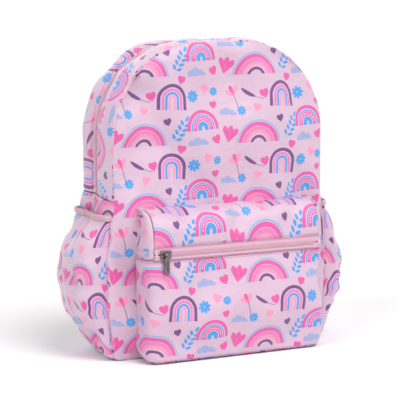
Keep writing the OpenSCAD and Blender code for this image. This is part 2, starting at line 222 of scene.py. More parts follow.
class Sheet:
    """A cloth cut as rows and columns of points, with its print coordinates in metres.

    tuck names the edges turned into a seam: l, r, b (first row) and t (last row).
    ease is how much larger the cloth is cut than its place, which gives the folds.
    """

    def __init__(self, name, points, print_uv, tuck="lrbt", ease=0.02, away=CENTRE, depth=0.0016):
        self.name = name
        self.points = np.array(points, float)
        self.uv = np.array(print_uv, float)
        self.tuck = tuck
        self.ease = np.broadcast_to(ease, self.points.shape[:2])
        self.depth = depth
        outward = np.sum(grid_normals(self.points) * (self.points - away))
        self.flip = outward < 0
        SHEETS[name] = self

    def normals(self):
        n = grid_normals(self.points)
        return -n if self.flip else n

    def pins(self):
        """1 at the seams, falling to 0 a few rows in."""
        near = from_edge(self.points.shape[:2])
        return np.where(near <= 1, 1.0, np.where(near == 2, 0.4, 0.0))

    def faces(self):
        quads = grid_faces(*self.points.shape[:2])
        return quads[:, ::-1] if self.flip else quads

    def ripple(self, amount, length, seed):
        """Raises and lowers the cloth between its seams."""
        rim = np.clip(from_edge(self.points.shape[:2]) / CALM_ROWS, 0, 1)
        lift = waves(self.points, amount, length, seed) * rim**2 * (3 - 2 * rim)
        self.points = self.points + self.normals() * lift[:, :, None]

    def tuck_edges(self):
        """Turns the named edges inwards, so that two cloths meet in the valley of a seam."""
        drop = np.zeros(self.points.shape[:2])
        for edge in self.tuck:
            for inward, share in enumerate(TUCK):
                row = edge_row(edge, inward)
                drop[row] = np.maximum(drop[row], share * self.depth)
        self.points = self.points - self.normals() * drop[:, :, None]


MAX_EASE = 0.08
MOST_SAG = 0.009
DRAPE_FRAMES = 24
CLOTH = {
    "quality": 6,
    "mass": 0.15,
    "tension_stiffness": 25,
    "compression_stiffness": 25,
    "shear_stiffness": 10,
    "bending_stiffness": 8,
    "air_damping": 2,
    "vertex_group_mass": "pin",
    "shrink_min": -MAX_EASE,
    "shrink_max": 0,
    "vertex_group_shrink": "snug",
    "use_pressure": True,
    "uniform_pressure_force": 0.2,
}


def smoothed(field, passes):
    """Field over a cloth with its finest ripples taken out; the edges stay as they are."""
    for _ in range(passes):
        rows = (field[:-2] + 2 * field[1:-1] + field[2:]) / 4
        field = np.concatenate([field[:1], rows, field[-1:]])
        columns = (field[:, :-2] + 2 * field[:, 1:-1] + field[:, 2:]) / 4
        field = np.concatenate([field[:, :1], columns, field[:, -1:]], axis=1)
    return field


def drape():
    """Cloth simulation of every loose sheet at once, each pinned at its seams and cut with a little ease."""
    parts = [sheet for sheet in SHEETS.values() if sheet.ease.max() > 0]
    starts = np.cumsum([0] + [p.points.shape[0] * p.points.shape[1] for p in parts])
    points = np.concatenate([p.points.reshape(-1, 3) for p in parts])
    faces = np.concatenate([p.faces() + start for p, start in zip(parts, starts)])
    mesh = bpy.data.meshes.new("draping")
    mesh.from_pydata(points.tolist(), [], faces.tolist())
    cloth = bpy.data.objects.new("draping", mesh)
    bpy.context.scene.collection.objects.link(cloth)
    # the cloth shrinks by less than nothing where the weight of this group is low
    groups = {"pin": [p.pins() for p in parts], "snug": [1 - p.ease / MAX_EASE for p in parts]}
    for group_name, arrays in groups.items():
        group = cloth.vertex_groups.new(name=group_name)
        weights = np.round(np.concatenate([a.ravel() for a in arrays]), 2)
        for value in np.unique(weights):
            group.add(np.flatnonzero(weights == value).tolist(), float(value), "REPLACE")
    modifier = cloth.modifiers.new("cloth", "CLOTH")
    for setting, value in CLOTH.items():
        setattr(modifier.settings, setting, value)
    modifier.settings.effector_weights.gravity = 0
    modifier.collision_settings.use_collision = False
    modifier.point_cache.frame_start = 1
    modifier.point_cache.frame_end = DRAPE_FRAMES
    for number in range(1, DRAPE_FRAMES + 1):
        bpy.context.scene.frame_set(number)
    settled = cloth.evaluated_get(bpy.context.evaluated_depsgraph_get()).to_mesh()
    moved = np.empty(len(points) * 3)
    settled.vertices.foreach_get("co", moved)
    moved = moved.reshape(-1, 3) - points
    distance = np.linalg.norm(moved, axis=1, keepdims=True)
    moved = moved * (MOST_SAG / np.maximum(distance, MOST_SAG))
    for p, start, end in zip(parts, starts, starts[1:]):
        p.points = p.points + smoothed(moved[start:end].reshape(p.points.shape), 3)
    bpy.data.objects.remove(cloth)
    bpy.context.scene.frame_set(1)


STRIP_PUFF = 0.002


def strip(name, d0, d1, y0, y1, **look):
    """Cloth round the outline of the bag from distance d0 to d1, between depths y0 and y1."""
    along = d0 + (d1 - d0) * ticks(d1 - d0, 0.006)
    depth = y0 + (y1 - y0) * ticks(y1 - y0, 0.005)
    d, y = np.meshgrid(along, depth, indexing="ij")
    points = arch(d, y)
    share = (y - y0) / (y1 - y0)
    points = points + radial(d) * (STRIP_PUFF * np.sin(math.pi * share) ** 0.8)[:, :, None]
    upright = d1 <= ZIP_Z + 0.001 or d0 >= ARCH - ZIP_Z - 0.001
    if upright:
        side = -1 if d1 < ARCH / 2 else 1
        uv = np.stack([side * y, points[:, :, 2]], axis=-1)
    else:
        uv = np.stack([-d, -y], axis=-1)
    return Sheet(name, points, uv, **look)


def radial(d):
    """Outward direction of the outline at distance d, in the x-z plane."""
    side = np.where(d < ARCH / 2, -1.0, 1.0)
    m = np.minimum(d, ARCH - d)
    turn = np.clip((m - ARC_Z) / TOP_R, 0, math.pi / 2)
    return np.stack([side * np.cos(turn), 0 * turn, np.sin(turn)], axis=-1)


def outline_patch(y, inset, step, low_z=0.0):
    """Grid of points over the whole outline of the bag at depth y, drawn in by inset."""
    split = ARC_Z + ARC / 2
    v = ticks(split, step)
    u = ticks(2 * HALF_W, step)
    left = arch(v * split, y)
    right = arch(ARCH - v * split, y)
    top = arch(split + u * (ARCH - 2 * split), y)
    bottom = left[0] + (right[0] - left[0]) * u[:, None]
    u2, v2 = u[None, :, None], v[:, None, None]
    points = (
        (1 - u2) * left[:, None] + u2 * right[:, None] + (1 - v2) * bottom[None] + v2 * top[None]
        - (1 - u2) * (1 - v2) * left[0] - u2 * (1 - v2) * right[0]
        - (1 - u2) * v2 * left[-1] - u2 * v2 * right[-1]
    )
    scale = 1 - inset / HALF_W
    points[:, :, 0] *= scale
    points[:, :, 2] = (points[:, :, 2] - TOP_Z / 2) * (1 - 2 * inset / TOP_Z) + TOP_Z / 2
    points[:, :, 2] = np.maximum(points[:, :, 2], low_z)
    return points


def flat_print(points):
    """Print coordinates of a cloth that faces front or back."""
    return points[:, :, [0, 2]]


def waves(points, amount, length, seed):
    """Slow, irregular rise and fall over a cloth, a few waves across."""
    rng = np.random.default_rng(SEED + seed)
    total = np.zeros(points.shape[:2])
    for _ in range(7):
        direction = rng.normal(size=3)
        direction = direction / np.linalg.norm(direction)
        k = 2 * math.pi / (length * rng.uniform(0.7, 1.6))
        total += np.sin(points @ direction * k + rng.uniform(0, 2 * math.pi))
    return amount * total / 2.6


def hollow(points, centre, reach, depth):
    """Depth of a smooth hollow round a centre."""
    away = (points - np.array(centre)) / np.array(reach)
    return depth * np.exp(-np.sum(away**2, axis=2))


FRONT_BELLY = 0.006
# centre, reach and depth of each hollow in the front
HOLLOWS = (
    ((-0.125, Y_FRONT, 0.335), (0.040, 1, 0.020), 0.0070),
    ((-0.105, Y_FRONT, 0.270), (0.050, 1, 0.012), 0.0045),
    ((0.110, Y_FRONT, 0.345), (0.020, 1, 0.050), 0.0040),
)

# front panel: one cloth, with a soft belly and the hollows that a lightly filled bag shows
points = outline_patch(Y_FRONT, 0.0, 0.005)
belly = (1 - (points[:, :, 0] / HALF_W) ** 2).clip(0)
belly = belly * hump(points[:, :, 2] / TOP_Z)
rise = FRONT_BELLY * belly
for centre, reach, depth in HOLLOWS:
    rise -= hollow(points, centre, reach, depth)
points[:, :, 1] -= rise * np.minimum(belly * 4, 1)
Sheet("front_panel", points, flat_print(points), ease=0.010)

# gussets and sides
strip("front_gusset", ZIP_Z, ARCH - ZIP_Z, Y_FRONT, ZIP_FRONT_Y, ease=0.02)
strip("rear_gusset", ZIP_Z, ARCH - ZIP_Z, ZIP_BACK_Y, Y_BACK, ease=0.02)
strip("side_panel_left", 0, ZIP_Z, Y_FRONT, Y_BACK, ease=0.03)
strip("side_panel_right", ARCH - ZIP_Z, ARCH, Y_FRONT, Y_BACK, ease=0.03)

# back panel: padded, with three quilted channels
points = outline_patch(Y_BACK, 0.0, 0.006)
pad = (1 - (points[:, :, 0] / (HALF_W - 0.02)) ** 2).clip(0) ** 0.3
pad = pad * hump(points[:, :, 2] / TOP_Z) ** 0.3
channel = np.exp(-((np.abs(points[:, :, 0]) - 0.045) / 0.004) ** 2)
points[:, :, 1] += pad * (0.004 - 0.0035 * channel)
Sheet("back_panel", points, flat_print(points), ease=0.0)

# base
left_foot = arch(0, np.linspace(Y_FRONT, Y_BACK, 24))
across = np.linspace(0, 1, 50)[None, :, None]
right_foot = left_foot * [-1, 1, 1]
points = left_foot[:, None] * (1 - across) + right_foot[:, None] * across
Sheet("base_panel", points, points[:, :, :2], ease=0.0)

# ---- front pocket ----

POCKET_D = Y_FRONT - POCKET_Y
POCKET_CORNER = 0.010
WALL = POCKET_D - POCKET_CORNER
TURN = math.pi / 2 * POCKET_CORNER
FACE = 2 * (POCKET_HALF - POCKET_CORNER)
GIRTH = 2 * WALL + 2 * TURN + FACE
ZIP_S = WALL + 0.6 * TURN
POCKET_BELLY = 0.004
POCKET_SIDE_BULGE = 0.004
POCKET_SWELL = 0.004
POCKET_FOOT = 0.013


def pocket_section(s):
    """Point (x, depth) at distance s round the pocket, from its left seam to its right one."""
    side = np.where(s < GIRTH / 2, -1.0, 1.0)
    m = np.minimum(s, GIRTH - s)
    turn = np.clip((m - WALL) / POCKET_CORNER, 0, math.pi / 2)
    x = POCKET_HALF - POCKET_CORNER + POCKET_CORNER * np.cos(turn) - np.clip(m - WALL - TURN, 0, None)
    depth = np.minimum(m, WALL) + POCKET_CORNER * np.sin(turn)
    bulge = hump(m / (WALL + TURN))
    return side * (x + POCKET_SIDE_BULGE * bulge), depth


def pocket_point(s, t):
    """Point on the pocket: t runs 0 to 1 up the face, 1 to 2 over the zip and 2 to 3 up the top piece."""
    x, depth = pocket_section(s)
    turn = np.clip(t - 2, 0, 1) * math.pi / 2
    share = np.cos(turn).clip(0) ** 0.72
    face_low = POCKET_LOW + POCKET_FOOT * (1 - depth / POCKET_D).clip(0)
    face_z = face_low + (POCKET_ZIP_LOW - face_low) * np.clip(t, 0, 1)
    zip_z = (POCKET_ZIP_HIGH - POCKET_ZIP_LOW) * np.clip(t - 1, 0, 1)
    top_z = (POCKET_TOP - POCKET_ZIP_HIGH) * np.sin(turn) ** 0.95
    belly = 0.003 + POCKET_BELLY * (1 - (x / POCKET_HALF) ** 2).clip(0)
    sag = belly * hump(t) ** 2 * (depth / POCKET_D)
    foot = 0.003 * (1 - np.clip(t / 0.06, 0, 1)) ** 2
    y = Y_FRONT - depth * share - sag + foot * (depth / POCKET_D)
    swell = POCKET_SWELL * hump(t - 2)
    return np.stack([x, y - 0.5 * swell, face_z + zip_z + top_z + swell * (depth / POCKET_D)], axis=-1)


def pocket_cloth(name, s0, s1, t0, t1, length, turned=False, **look):
    """Cloth on the pocket from s0 to s1 round it and t0 to t1 up it; turned lays its print sideways."""
    s = s0 + (s1 - s0) * ticks(s1 - s0, 0.005)
    t = t0 + (t1 - t0) * ticks(length, 0.005)
    s2, t2 = np.meshgrid(s, t)
    points = pocket_point(s2, t2)
    up = np.where(t2 < 1, POCKET_ZIP_LOW * t2, POCKET_ZIP_LOW + 0.06 * (t2 - 1))
    uv = np.stack([s2, up], axis=-1)
    if turned:
        uv = np.stack([up, -s2], axis=-1)
    return Sheet(name, points, uv, away=np.array([0, Y_FRONT + 0.05, 0.1]), **look)


pocket_cloth("pocket_face", 0, GIRTH, 0, 1, POCKET_ZIP_LOW, ease=0.012)
pocket_cloth("pocket_top", ZIP_S, GIRTH - ZIP_S, 2, 3, 0.075, ease=0.03, depth=0.001)
pocket_cloth("pocket_side_left", 0, ZIP_S, 1, 3, 0.09, turned=True, ease=0.04, depth=0.001)
pocket_cloth("pocket_side_right", GIRTH - ZIP_S, GIRTH, 1, 3, 0.09, turned=True, ease=0.04, depth=0.001)

s = np.linspace(0, GIRTH, 60)
rim = pocket_point(s, 0 * s)
root = rim * [1, 0, 0] + [0, Y_FRONT, POCKET_LOW + POCKET_FOOT]
across = np.linspace(0, 1, 8)[:, None, None]
points = root[None] * (1 - across) + rim[None] * across
Sheet("pocket_bottom", points, points[:, :, :2], ease=0.0, tuck="", away=np.array([0, Y_FRONT, 0.1]))

# ---- side pockets ----

SIDE_BULGE = 0.038
SIDE_ROWS = [(0, 0.05), (0.03, 0.46), (0.07, 0.88), (0.108, 1.0), (0.15, 0.74), (0.184, 0.26)]
SIDE_FULL = 3.2
SIDE_SKEW = 0.22
MOUTH_DROP = 0.008
MOUTH_PUCKER = 0.0030
SEAM_PUCKER = 0.0060
SLANT_FOLD = 0.004
# depth of the creases at the foot of the left and the right side pocket
CREASE = {-1: 0.0100, 1: 0.0050}
# height, slant, width and share of the full depth of each crease
FOOT_CREASES = ((0.055, 0.035, 0.009, 1.0), (0.030, 0.030, 0.007, 0.8))


def side_point(side, v, z):
    """Point on a side pocket: v runs -1 at the front seam to 1 at the back, z is the height."""
    y = SIDE_FRONT_Y + (SIDE_BACK_Y - SIDE_FRONT_Y) * (v + 1) / 2
    z = z - MOUTH_DROP * (z / MOUTH_Z) ** 2 * (v + 1) / 2
    d = np.clip(FOOT_ARC + (z - 0.02) * (ARC_Z - FOOT_ARC) / (ARC_Z - 0.02), 0.006, None)
    body = arch(d, y)
    share = curve(SIDE_ROWS, z)
    skewed = v + SIDE_SKEW * (1 - v**2)
    fullness = (1 - np.abs(skewed) ** SIDE_FULL).clip(0) ** (1 / SIDE_FULL)
    near_mouth = np.clip((z - 0.12) / 0.06, 0, 1) ** 2
    pucker = MOUTH_PUCKER * near_mouth * np.sin(v * 19 + 3 * np.sin(v * 5)) * (1 - v**2)
    near_seam = np.exp(-((v + 0.85) / 0.22) ** 2) * np.exp(-((z - 0.06) / 0.06) ** 2)
    pucker = pucker + SEAM_PUCKER * near_seam * np.sin(z * 2 * math.pi / 0.019 + 4 * v) * (1 - v**2)
    crease = sum(
        part * np.exp(-((z - high - slant * v) / width) ** 2) for high, slant, width, part in FOOT_CREASES
    )
    in_front = np.clip((0.35 - v) / 0.7, 0, 1)
    fold = CREASE[side] * crease * in_front * (1 - v**2)
    fold = fold + SLANT_FOLD * np.exp(-((v + 0.35 - 2 * (z - 0.1)) / 0.16) ** 2) * (z < 0.12)
    x = np.abs(body[..., 0]) + SIDE_BULGE * share * fullness + pucker - fold
    return np.stack([side * x, y, body[..., 2]], axis=-1)


def bunched(count):
    """Places -1 to 1 across a side pocket, closer together at its two seams."""
    even = np.linspace(-1, 1, count)
    return np.sign(even) * (1 - (1 - np.abs(even)) ** 1.5)


# gathered cloth: its print is narrower than on flat cloth, and leans towards the foot
GATHER = 1.3
LEAN = 0.012
SIDES = ((-1, "left"), (1, "right"))
for side, word in SIDES:
    heights = np.concatenate([[0.002, 0.004], np.linspace(0.008, MOUTH_Z - 0.003, 40), [MOUTH_Z]])
    v, z = np.meshgrid(bunched(44), heights)
    points = side_point(side, v, z)
    step = np.linalg.norm(np.diff(points, axis=1), axis=2)
    run = np.concatenate([np.zeros((len(z), 1)), np.cumsum(step, axis=1)], axis=1)
    run = run - run[:, [22]]
    uv = np.stack([side * run * GATHER, z + LEAN * v], axis=-1)
    loose = 0.03 + 0.05 * np.exp(-((z - 0.035) / 0.03) ** 2) + 0.04 * np.exp(-((z - 0.17) / 0.02) ** 2)
    away = np.array([side * 0.12, -0.01, 0.1])
    Sheet("side_pocket_" + word, points, uv, tuck="lrb", ease=loose, away=away)

# ---- linings, foam and yoke ----

INWARD = np.array([0, 0.3, 0.19])
LINING_GAP = 0.007
LINING_DEPTH = 0.004
points = outline_patch(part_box("back_lining")[0].y, 0.004, 0.012, low_z=0.003)
Sheet("back_lining", points, flat_print(points), tuck="", ease=0.0, away=INWARD)
points = outline_patch(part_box("back_foam")[1].y, 0.004, 0.012, low_z=0.003)
Sheet("back_foam", points, flat_print(points), tuck="", ease=0.0)

down = np.linspace(ZIP_Z - 0.004, 0, 24)
depth = np.linspace(Y_FRONT + LINING_GAP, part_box("body_lining")[1].y, 14)
leg = arch(down[:, None], depth[None, :])
across = np.linspace(0, 1, 26)[1:-1, None, None]
floor_part = leg[-1:] * (1 - across) + leg[-1:] * [-1, 1, 1] * across
points = np.concatenate([leg, floor_part, leg[::-1] * [-1, 1, 1]]) * [1 - 0.006 / HALF_W, 1, 1]
points[:, :, 2] = np.maximum(points[:, :, 2], 0.0025)
run = run_along(points[:, 0])
uv = np.stack([points[:, :, 1], np.broadcast_to(run[:, None], points.shape[:2])], axis=-1)
Sheet("body_lining", points, uv, tuck="", ease=0.0)

yoke_low, yoke_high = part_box("strap_yoke")
x, z = np.meshgrid(
    yoke_low.x + (yoke_high.x - yoke_low.x) * ticks(yoke_high.x - yoke_low.x, 0.006),
    yoke_low.z + (yoke_high.z - yoke_low.z) * ticks(yoke_high.z - yoke_low.z, 0.004),
)
rim = (1 - ((x - yoke_low.x) / (yoke_high.x - yoke_low.x) * 2 - 1) ** 8).clip(0) ** 0.5
rim = rim * (1 - ((z - yoke_low.z) / (yoke_high.z - yoke_low.z) * 2 - 1) ** 8).clip(0) ** 0.5
points = np.stack([x, Y_BACK + 0.001 + (yoke_high.y - Y_BACK) * rim, z], axis=-1)
Sheet("strap_yoke", points, flat_print(points), tuck="", ease=0.01, away=np.array([0, -0.5, 0.36]))

# ---- simulation, then seams ----

# slow rise and fall of a lightly filled bag: how deep and how long on each cloth
RIPPLES = {
    "front_panel": (0.0040, 0.085),
    "front_gusset": (0.0012, 0.050),
    "rear_gusset": (0.0012, 0.050),
    "side_panel_left": (0.0020, 0.060),
    "side_panel_right": (0.0020, 0.060),
    "pocket_face": (0.0016, 0.075),
    "pocket_top": (0.0016, 0.050),
    "side_pocket_left": (0.0018, 0.045),
    "side_pocket_right": (0.0018, 0.045),
}
for number, (name, (amount, length)) in enumerate(RIPPLES.items()):
    SHEETS[name].ripple(amount, length, number)

drape()

# the lining of the front follows the settled panel
panel = SHEETS["front_panel"]
points = (panel.points - LINING_DEPTH * panel.normals())[::2, ::2] * [1 - 0.004 / HALF_W, 1, 1]
points[:, :, 2] = np.clip(points[:, :, 2], 0.003, None) - 0.004 * points[:, :, 2] / TOP_Z
Sheet("flap_lining", points, flat_print(points), tuck="", ease=0.0, away=np.array([0, -0.3, 0.19]))

for sheet in SHEETS.values():
    sheet.tuck_edges()

# ---- shader building ----


def rgb(red, green, blue):
    """Linear colour of a 0-255 display colour."""
    def linear(c):
        c = c / 255
        return c / 12.92 if c <= 0.04045 else ((c + 0.055) / 1.055) ** 2.4
    return (linear(red), linear(green), linear(blue), 1.0)


BASE_PINK = rgb(219, 189, 208)
HOT_PINK = rgb(230, 92, 166)
MID_PINK = rgb(232, 130, 188)
SALMON = rgb(244, 154, 188)
PURPLE = rgb(116, 70, 134)
SKY = rgb(72, 158, 228)
PALE_SKY = rgb(122, 184, 224)
PERIWINKLE = rgb(162, 172, 216)
STEM = rgb(122, 84, 118)
WHITE = rgb(240, 224, 236)
TAPE_PINK = rgb(226, 174, 197)
COIL_PINK = rgb(236, 192, 210)
THREAD_PINK = rgb(208, 138, 166)
BINDING_PINK = rgb(234, 190, 204)
LINING_PINK = rgb(204, 144, 172)
WEB_PINK = rgb(222, 156, 184)


class Val:
    """One number in a shader tree. Arithmetic on it adds Math nodes."""

    def __init__(self, shader, socket):
        self.shader = shader
        self.socket = socket

    def __add__(self, other):
        return self.shader.math("ADD", self, other)

    def __sub__(self, other):
        return self.shader.math("SUBTRACT", self, other)

    def __mul__(self, other):
        return self.shader.math("MULTIPLY", self, other)

    def __truediv__(self, other):
        return self.shader.math("DIVIDE", self, other)

    def __abs__(self):
        return self.shader.math("ABSOLUTE", self)

    def least(self, other):
        return self.shader.math("MINIMUM", self, other)

    def most(self, other):
        return self.shader.math("MAXIMUM", self, other)

    def inside(self, edge, soft=0.4):
        """1 where the value is under edge, 0 over it, with a soft step between."""
        return self.shader.math("MULTIPLY_ADD", self, -1 / soft, edge / soft + 0.5, clamp=True)

    def over(self, edge, soft=0.4):
        """0 where the value is under edge, 1 over it."""
        return self.shader.math("MULTIPLY_ADD", self, 1 / soft, 0.5 - edge / soft, clamp=True)


class Shader:
    """A node material, and the colour painted on it so far."""

    def __init__(self, name, base):
        self.material = bpy.data.materials.new(name)
        self.material.use_nodes = True
        self.tree = self.material.node_tree
        self.tree.nodes.clear()
        self.colour = self.node("RGB").outputs[0]
        self.colour.default_value = base

    def node(self, kind, **settings):
        """A new shader node with these settings."""
        made = self.tree.nodes.new("ShaderNode" + kind)
        for key, value in settings.items():
            setattr(made, key, value)
        return made

    def feed(self, socket, value):
        """Links a value or a socket to an input, or sets the input to a plain number or colour."""
        if isinstance(value, Val):
            value = value.socket
        if isinstance(value, bpy.types.NodeSocket):
            self.tree.links.new(value, socket)
        else:
            socket.default_value = value

    def math(self, operation, *values, clamp=False):
        made = self.node("Math", operation=operation, use_clamp=clamp)
        for socket, value in zip(made.inputs, values):
            self.feed(socket, value)
        return Val(self, made.outputs[0])

    def vector(self, operation, *values):
        made = self.node("VectorMath", operation=operation)
        for socket, value in zip(made.inputs, values):
            self.feed(socket, value)
        return made.outputs["Value"] if operation == "LENGTH" else made.outputs["Vector"]

    def split(self, vector):
        made = self.node("SeparateXYZ")
        self.feed(made.inputs[0], vector)
        return [Val(self, socket) for socket in made.outputs]

    def length(self, x, y):
        return self.math("SQRT", self.math("MULTIPLY_ADD", x, x, y * y))

    def paint(self, colour, mask):
        """Lays a colour over what is painted so far, where the mask is 1."""
        mix = self.node("Mix", data_type="RGBA")
        self.feed(mix.inputs["Factor"], mask)
        self.feed(mix.inputs[6], self.colour)
        self.feed(mix.inputs[7], colour)
        self.colour = mix.outputs[2]

    def bands(self, place, reach, stripes):
        """Colour and cover of stripes (end, colour or None), read at place from 0 to reach."""
        ramp = self.node("ValToRGB")
        ramp.color_ramp.interpolation = "CONSTANT"
        self.feed(ramp.inputs[0], place / reach)
        start = 0.0
        elements = ramp.color_ramp.elements
        elements.remove(elements[1])
        for number, (end, colour) in enumerate(stripes):
            element = elements[0] if number == 0 else elements.new(start / reach)
            element.position = start / reach
            element.color = colour if colour else (0, 0, 0, 0)
            start = end
        last = elements.new(min(start / reach, 0.999))
        last.color = (0, 0, 0, 0)
        return ramp.outputs["Color"], Val(self, ramp.outputs["Alpha"])

    def finish(self, roughness, bump, bump_size, sheen=0.0, metallic=0.0):
        """The finished material: bump is a height, and bump_size its full height in metres."""
        shade = self.node("BsdfPrincipled")
        self.feed(shade.inputs["Base Color"], self.colour)
        self.feed(shade.inputs["Roughness"], roughness)
        self.feed(shade.inputs["Metallic"], metallic)
        self.feed(shade.inputs["Sheen Weight"], sheen)
        made = self.node("Bump")
        made.inputs["Distance"].default_value = bump_size
        made.inputs["Strength"].default_value = 1.0
        self.feed(made.inputs["Height"], bump)
        self.feed(shade.inputs["Normal"], made.outputs["Normal"])
        self.feed(self.node("OutputMaterial").inputs[0], shade.outputs[0])
        return self.material

    def cloth_place(self, scale=1000):
        """The place on the cloth, in millimetres unless scaled, from the piece's print coordinates."""
        uv = self.node("UVMap", uv_map="print")
        scaled = self.node("VectorMath", operation="SCALE")
        self.feed(scaled.inputs[0], uv.outputs[0])
        scaled.inputs["Scale"].default_value = scale
        return scaled.outputs["Vector"]

    def noise(self, place, scale, detail=2.0):
        made = self.node("TexNoise")
        self.feed(made.inputs["Vector"], place)
        made.inputs["Scale"].default_value = scale
        made.inputs["Detail"].default_value = detail
        return Val(self, made.outputs[0])

    def weave(self, place, pitch):
        """Height of a plain weave of the given pitch in millimetres."""
        x, y, _ = self.split(place)
        over = self.math("SINE", x * (2 * math.pi / pitch))
        under = self.math("SINE", y * (2 * math.pi / pitch))
        return over * under


# ---- the print: each motif is painted at its local x and y in millimetres; kind picks a heart's colour ----

TILE_W = 172.0
TILE_H = 95.0
PRINT_SCALE = 0.92


def nearest(shader, cloth, places, reach):
    """Local x, y and kind of the motif that is near this point; far away where there is none."""
    spot = (999.0, 999.0, 0.0)
    for x, y, turn, size, kind in places:
        high = (x + TILE_W / 2, y + TILE_H / 2, 1.0)
        low = (x - TILE_W / 2, y - TILE_H / 2, -1.0)
        wrapped = shader.vector("WRAP", cloth, high, low)
        local = shader.node("Mapping", vector_type="TEXTURE")
        shader.feed(local.inputs["Vector"], wrapped)
        local.inputs["Location"].default_value = (x, y, -0.1 * kind)
        local.inputs["Rotation"].default_value = (0, 0, math.radians(turn))
        local.inputs["Scale"].default_value = (size, size, 1)
        near = shader.math("LESS_THAN", shader.vector("LENGTH", local.outputs[0]), reach)
        mix = shader.node("Mix", data_type="VECTOR")
        shader.feed(mix.inputs["Factor"], near)
        shader.feed(mix.inputs[4], spot)
        shader.feed(mix.inputs[5], local.outputs[0])
        spot = mix.outputs[1]
    x, y, kind = shader.split(spot)
    return x, y, kind * 10


def wide_rainbow(shader, x, y, _):
    """A low rainbow of five broad bands."""
    radius = shader.length(x, y + 4)
    colour, cover = shader.bands(radius, 38, [
        (10, None), (14.2, PURPLE), (16.5, None), (21.5, SALMON), (26.6, MID_PINK), (27.4, None),
        (33, HOT_PINK), (34, None), (36, PALE_SKY),
    ])
    shader.paint(colour, cover * y.over(0))


def dotted_rainbow(shader, x, y, _):
    """A rainbow with a row of white dots in its middle band."""
    radius = shader.length(x, y.most(0))
    colour, cover = shader.bands(radius, 30, [
        (2.2, None), (8.5, SKY), (10, None), (16, HOT_PINK), (17, None), (18.8, SKY), (20.4, None),
        (25.5, HOT_PINK),
    ])
    shader.paint(colour, cover * y.over(-4))
    angle = shader.math("ARCTAN2", y, x)
    along = (shader.math("FRACT", angle * (180 / math.pi / 14)) - 0.5) * 3.2
    dot = shader.length(along, radius - 13).inside(0.95)
    shader.paint(WHITE, dot * y.over(0))


def tall_rainbow(shader, x, y, _):
    """A rainbow on straight legs."""
    radius = shader.length(x, y.most(0))
    colour, cover = shader.bands(radius, 24, [
        (2.2, None), (5, SALMON), (6.5, None), (9.7, SKY), (11, None), (14.6, MID_PINK), (16.4, None),
        (21, PURPLE),
    ])
    shader.paint(colour, cover * y.over(-15))


def heart(shader, x, y, kind):
    """A heart in one of three colours."""
    wide = x / 6.6
    lifted = y / 5.8 - shader.math("SQRT", abs(wide)) * 0.72
    shape = shader.math("MULTIPLY_ADD", wide, wide, lifted * lifted)
    colour, _ = shader.bands(kind, 4, [(1, SALMON), (2, HOT_PINK), (3, PURPLE)])
    shader.paint(colour, shape.inside(1, 0.12))


def daisy(shader, x, y, _):
    """A flower of eight round petals."""
    angle = shader.math("PINGPONG", shader.math("ARCTAN2", y, x) + 10 * math.pi, math.pi / 8)
    radius = shader.length(x, y)
    along = radius * shader.math("COSINE", angle)
    off = radius * shader.math("SINE", angle)
    past = along - along.least(6.8)
    shader.paint(SKY, shader.length(past, off).inside(2.0))
    shader.paint(PALE_SKY, radius.inside(1.9))


def cloud(shader, x, y, _):
    """A flat-bottomed cloud of four puffs."""
    left = shader.length(x + 8, y) - 4.6
    middle = shader.length(x + 0.5, y - 1.5) - 6.4
    right = shader.length(x - 8.5, y - 0.4) - 4.4
    tail = shader.length((x - 13) * 0.7, y + 1.5) - 2.6
    near = left.least(right).least(middle.least(tail))
    shader.paint(PERIWINKLE, near.inside(0, 1.2) * y.over(-3.6))


def sprig(shader, x, y, _):
    """Two rows of leaves and one at the tip."""
    cell = (shader.math("FRACT", x / 7.2) - 0.5) * 7.2
    high = abs(y) - 4.2
    along = cell * 0.64 + high * 0.77
    off = high * 0.64 - cell * 0.77
    leaf = shader.length(along / 4.1, off / 2.15).inside(1, 0.16)
    shader.paint(SKY, leaf * abs(x).inside(14.4))
    tip = shader.length((x - 18.6) / 4.2, y / 2.2).inside(1, 0.16)
    shader.paint(SKY, tip)


def fan(shader, x, y, base, turn, centre, half_length, half_width):
    """Three petals that fan out from a point under the motif. Returns cover and the petal's angle."""
    high = y + base
    radius = shader.length(x, high)
    angle = shader.math("ARCTAN2", x, high)
    step = math.radians(turn)
    folded = shader.math("WRAP", angle, step / 2, -step / 2)
    along = (radius * shader.math("COSINE", folded) - centre) / half_length
    off = radius * shader.math("SINE", folded) / half_width
    cover = shader.length(along, off).inside(1, 0.12)
    return cover * abs(angle).inside(1.5 * step, 0.02), angle


def tulip(shader, x, y, _):
    """Three petals on a thin stem."""
    cover, angle = fan(shader, x, y, 8, 34, 8.4, 6.6, 3.1)
    shader.paint(SALMON, cover)
    shader.paint(HOT_PINK, cover * abs(angle).inside(0.26, 0.05))
    stem = abs(x + y * y * 0.006).inside(0.45) * y.inside(-6) * y.over(-26)
    shader.paint(STEM, stem)


def bud(shader, x, y, _):
    """Three wide petals."""
    cover, angle = fan(shader, x, y, 11, 26, 12.5, 11.5, 4.9)
    shader.paint(HOT_PINK, cover)
    shader.paint(MID_PINK, cover * abs(angle).inside(0.045, 0.03) * y.inside(4))


def long_leaf(shader, x, y, _):
    """One bent leaf on a stem."""
    bend = y - x * x * 0.008
    leaf = shader.length(x / 11.5, bend / 2.6).inside(1, 0.14)
    stem = abs(bend).inside(0.4) * x.over(10) * x.inside(24)
    shader.paint(STEM, stem)
    shader.paint(PURPLE, leaf)


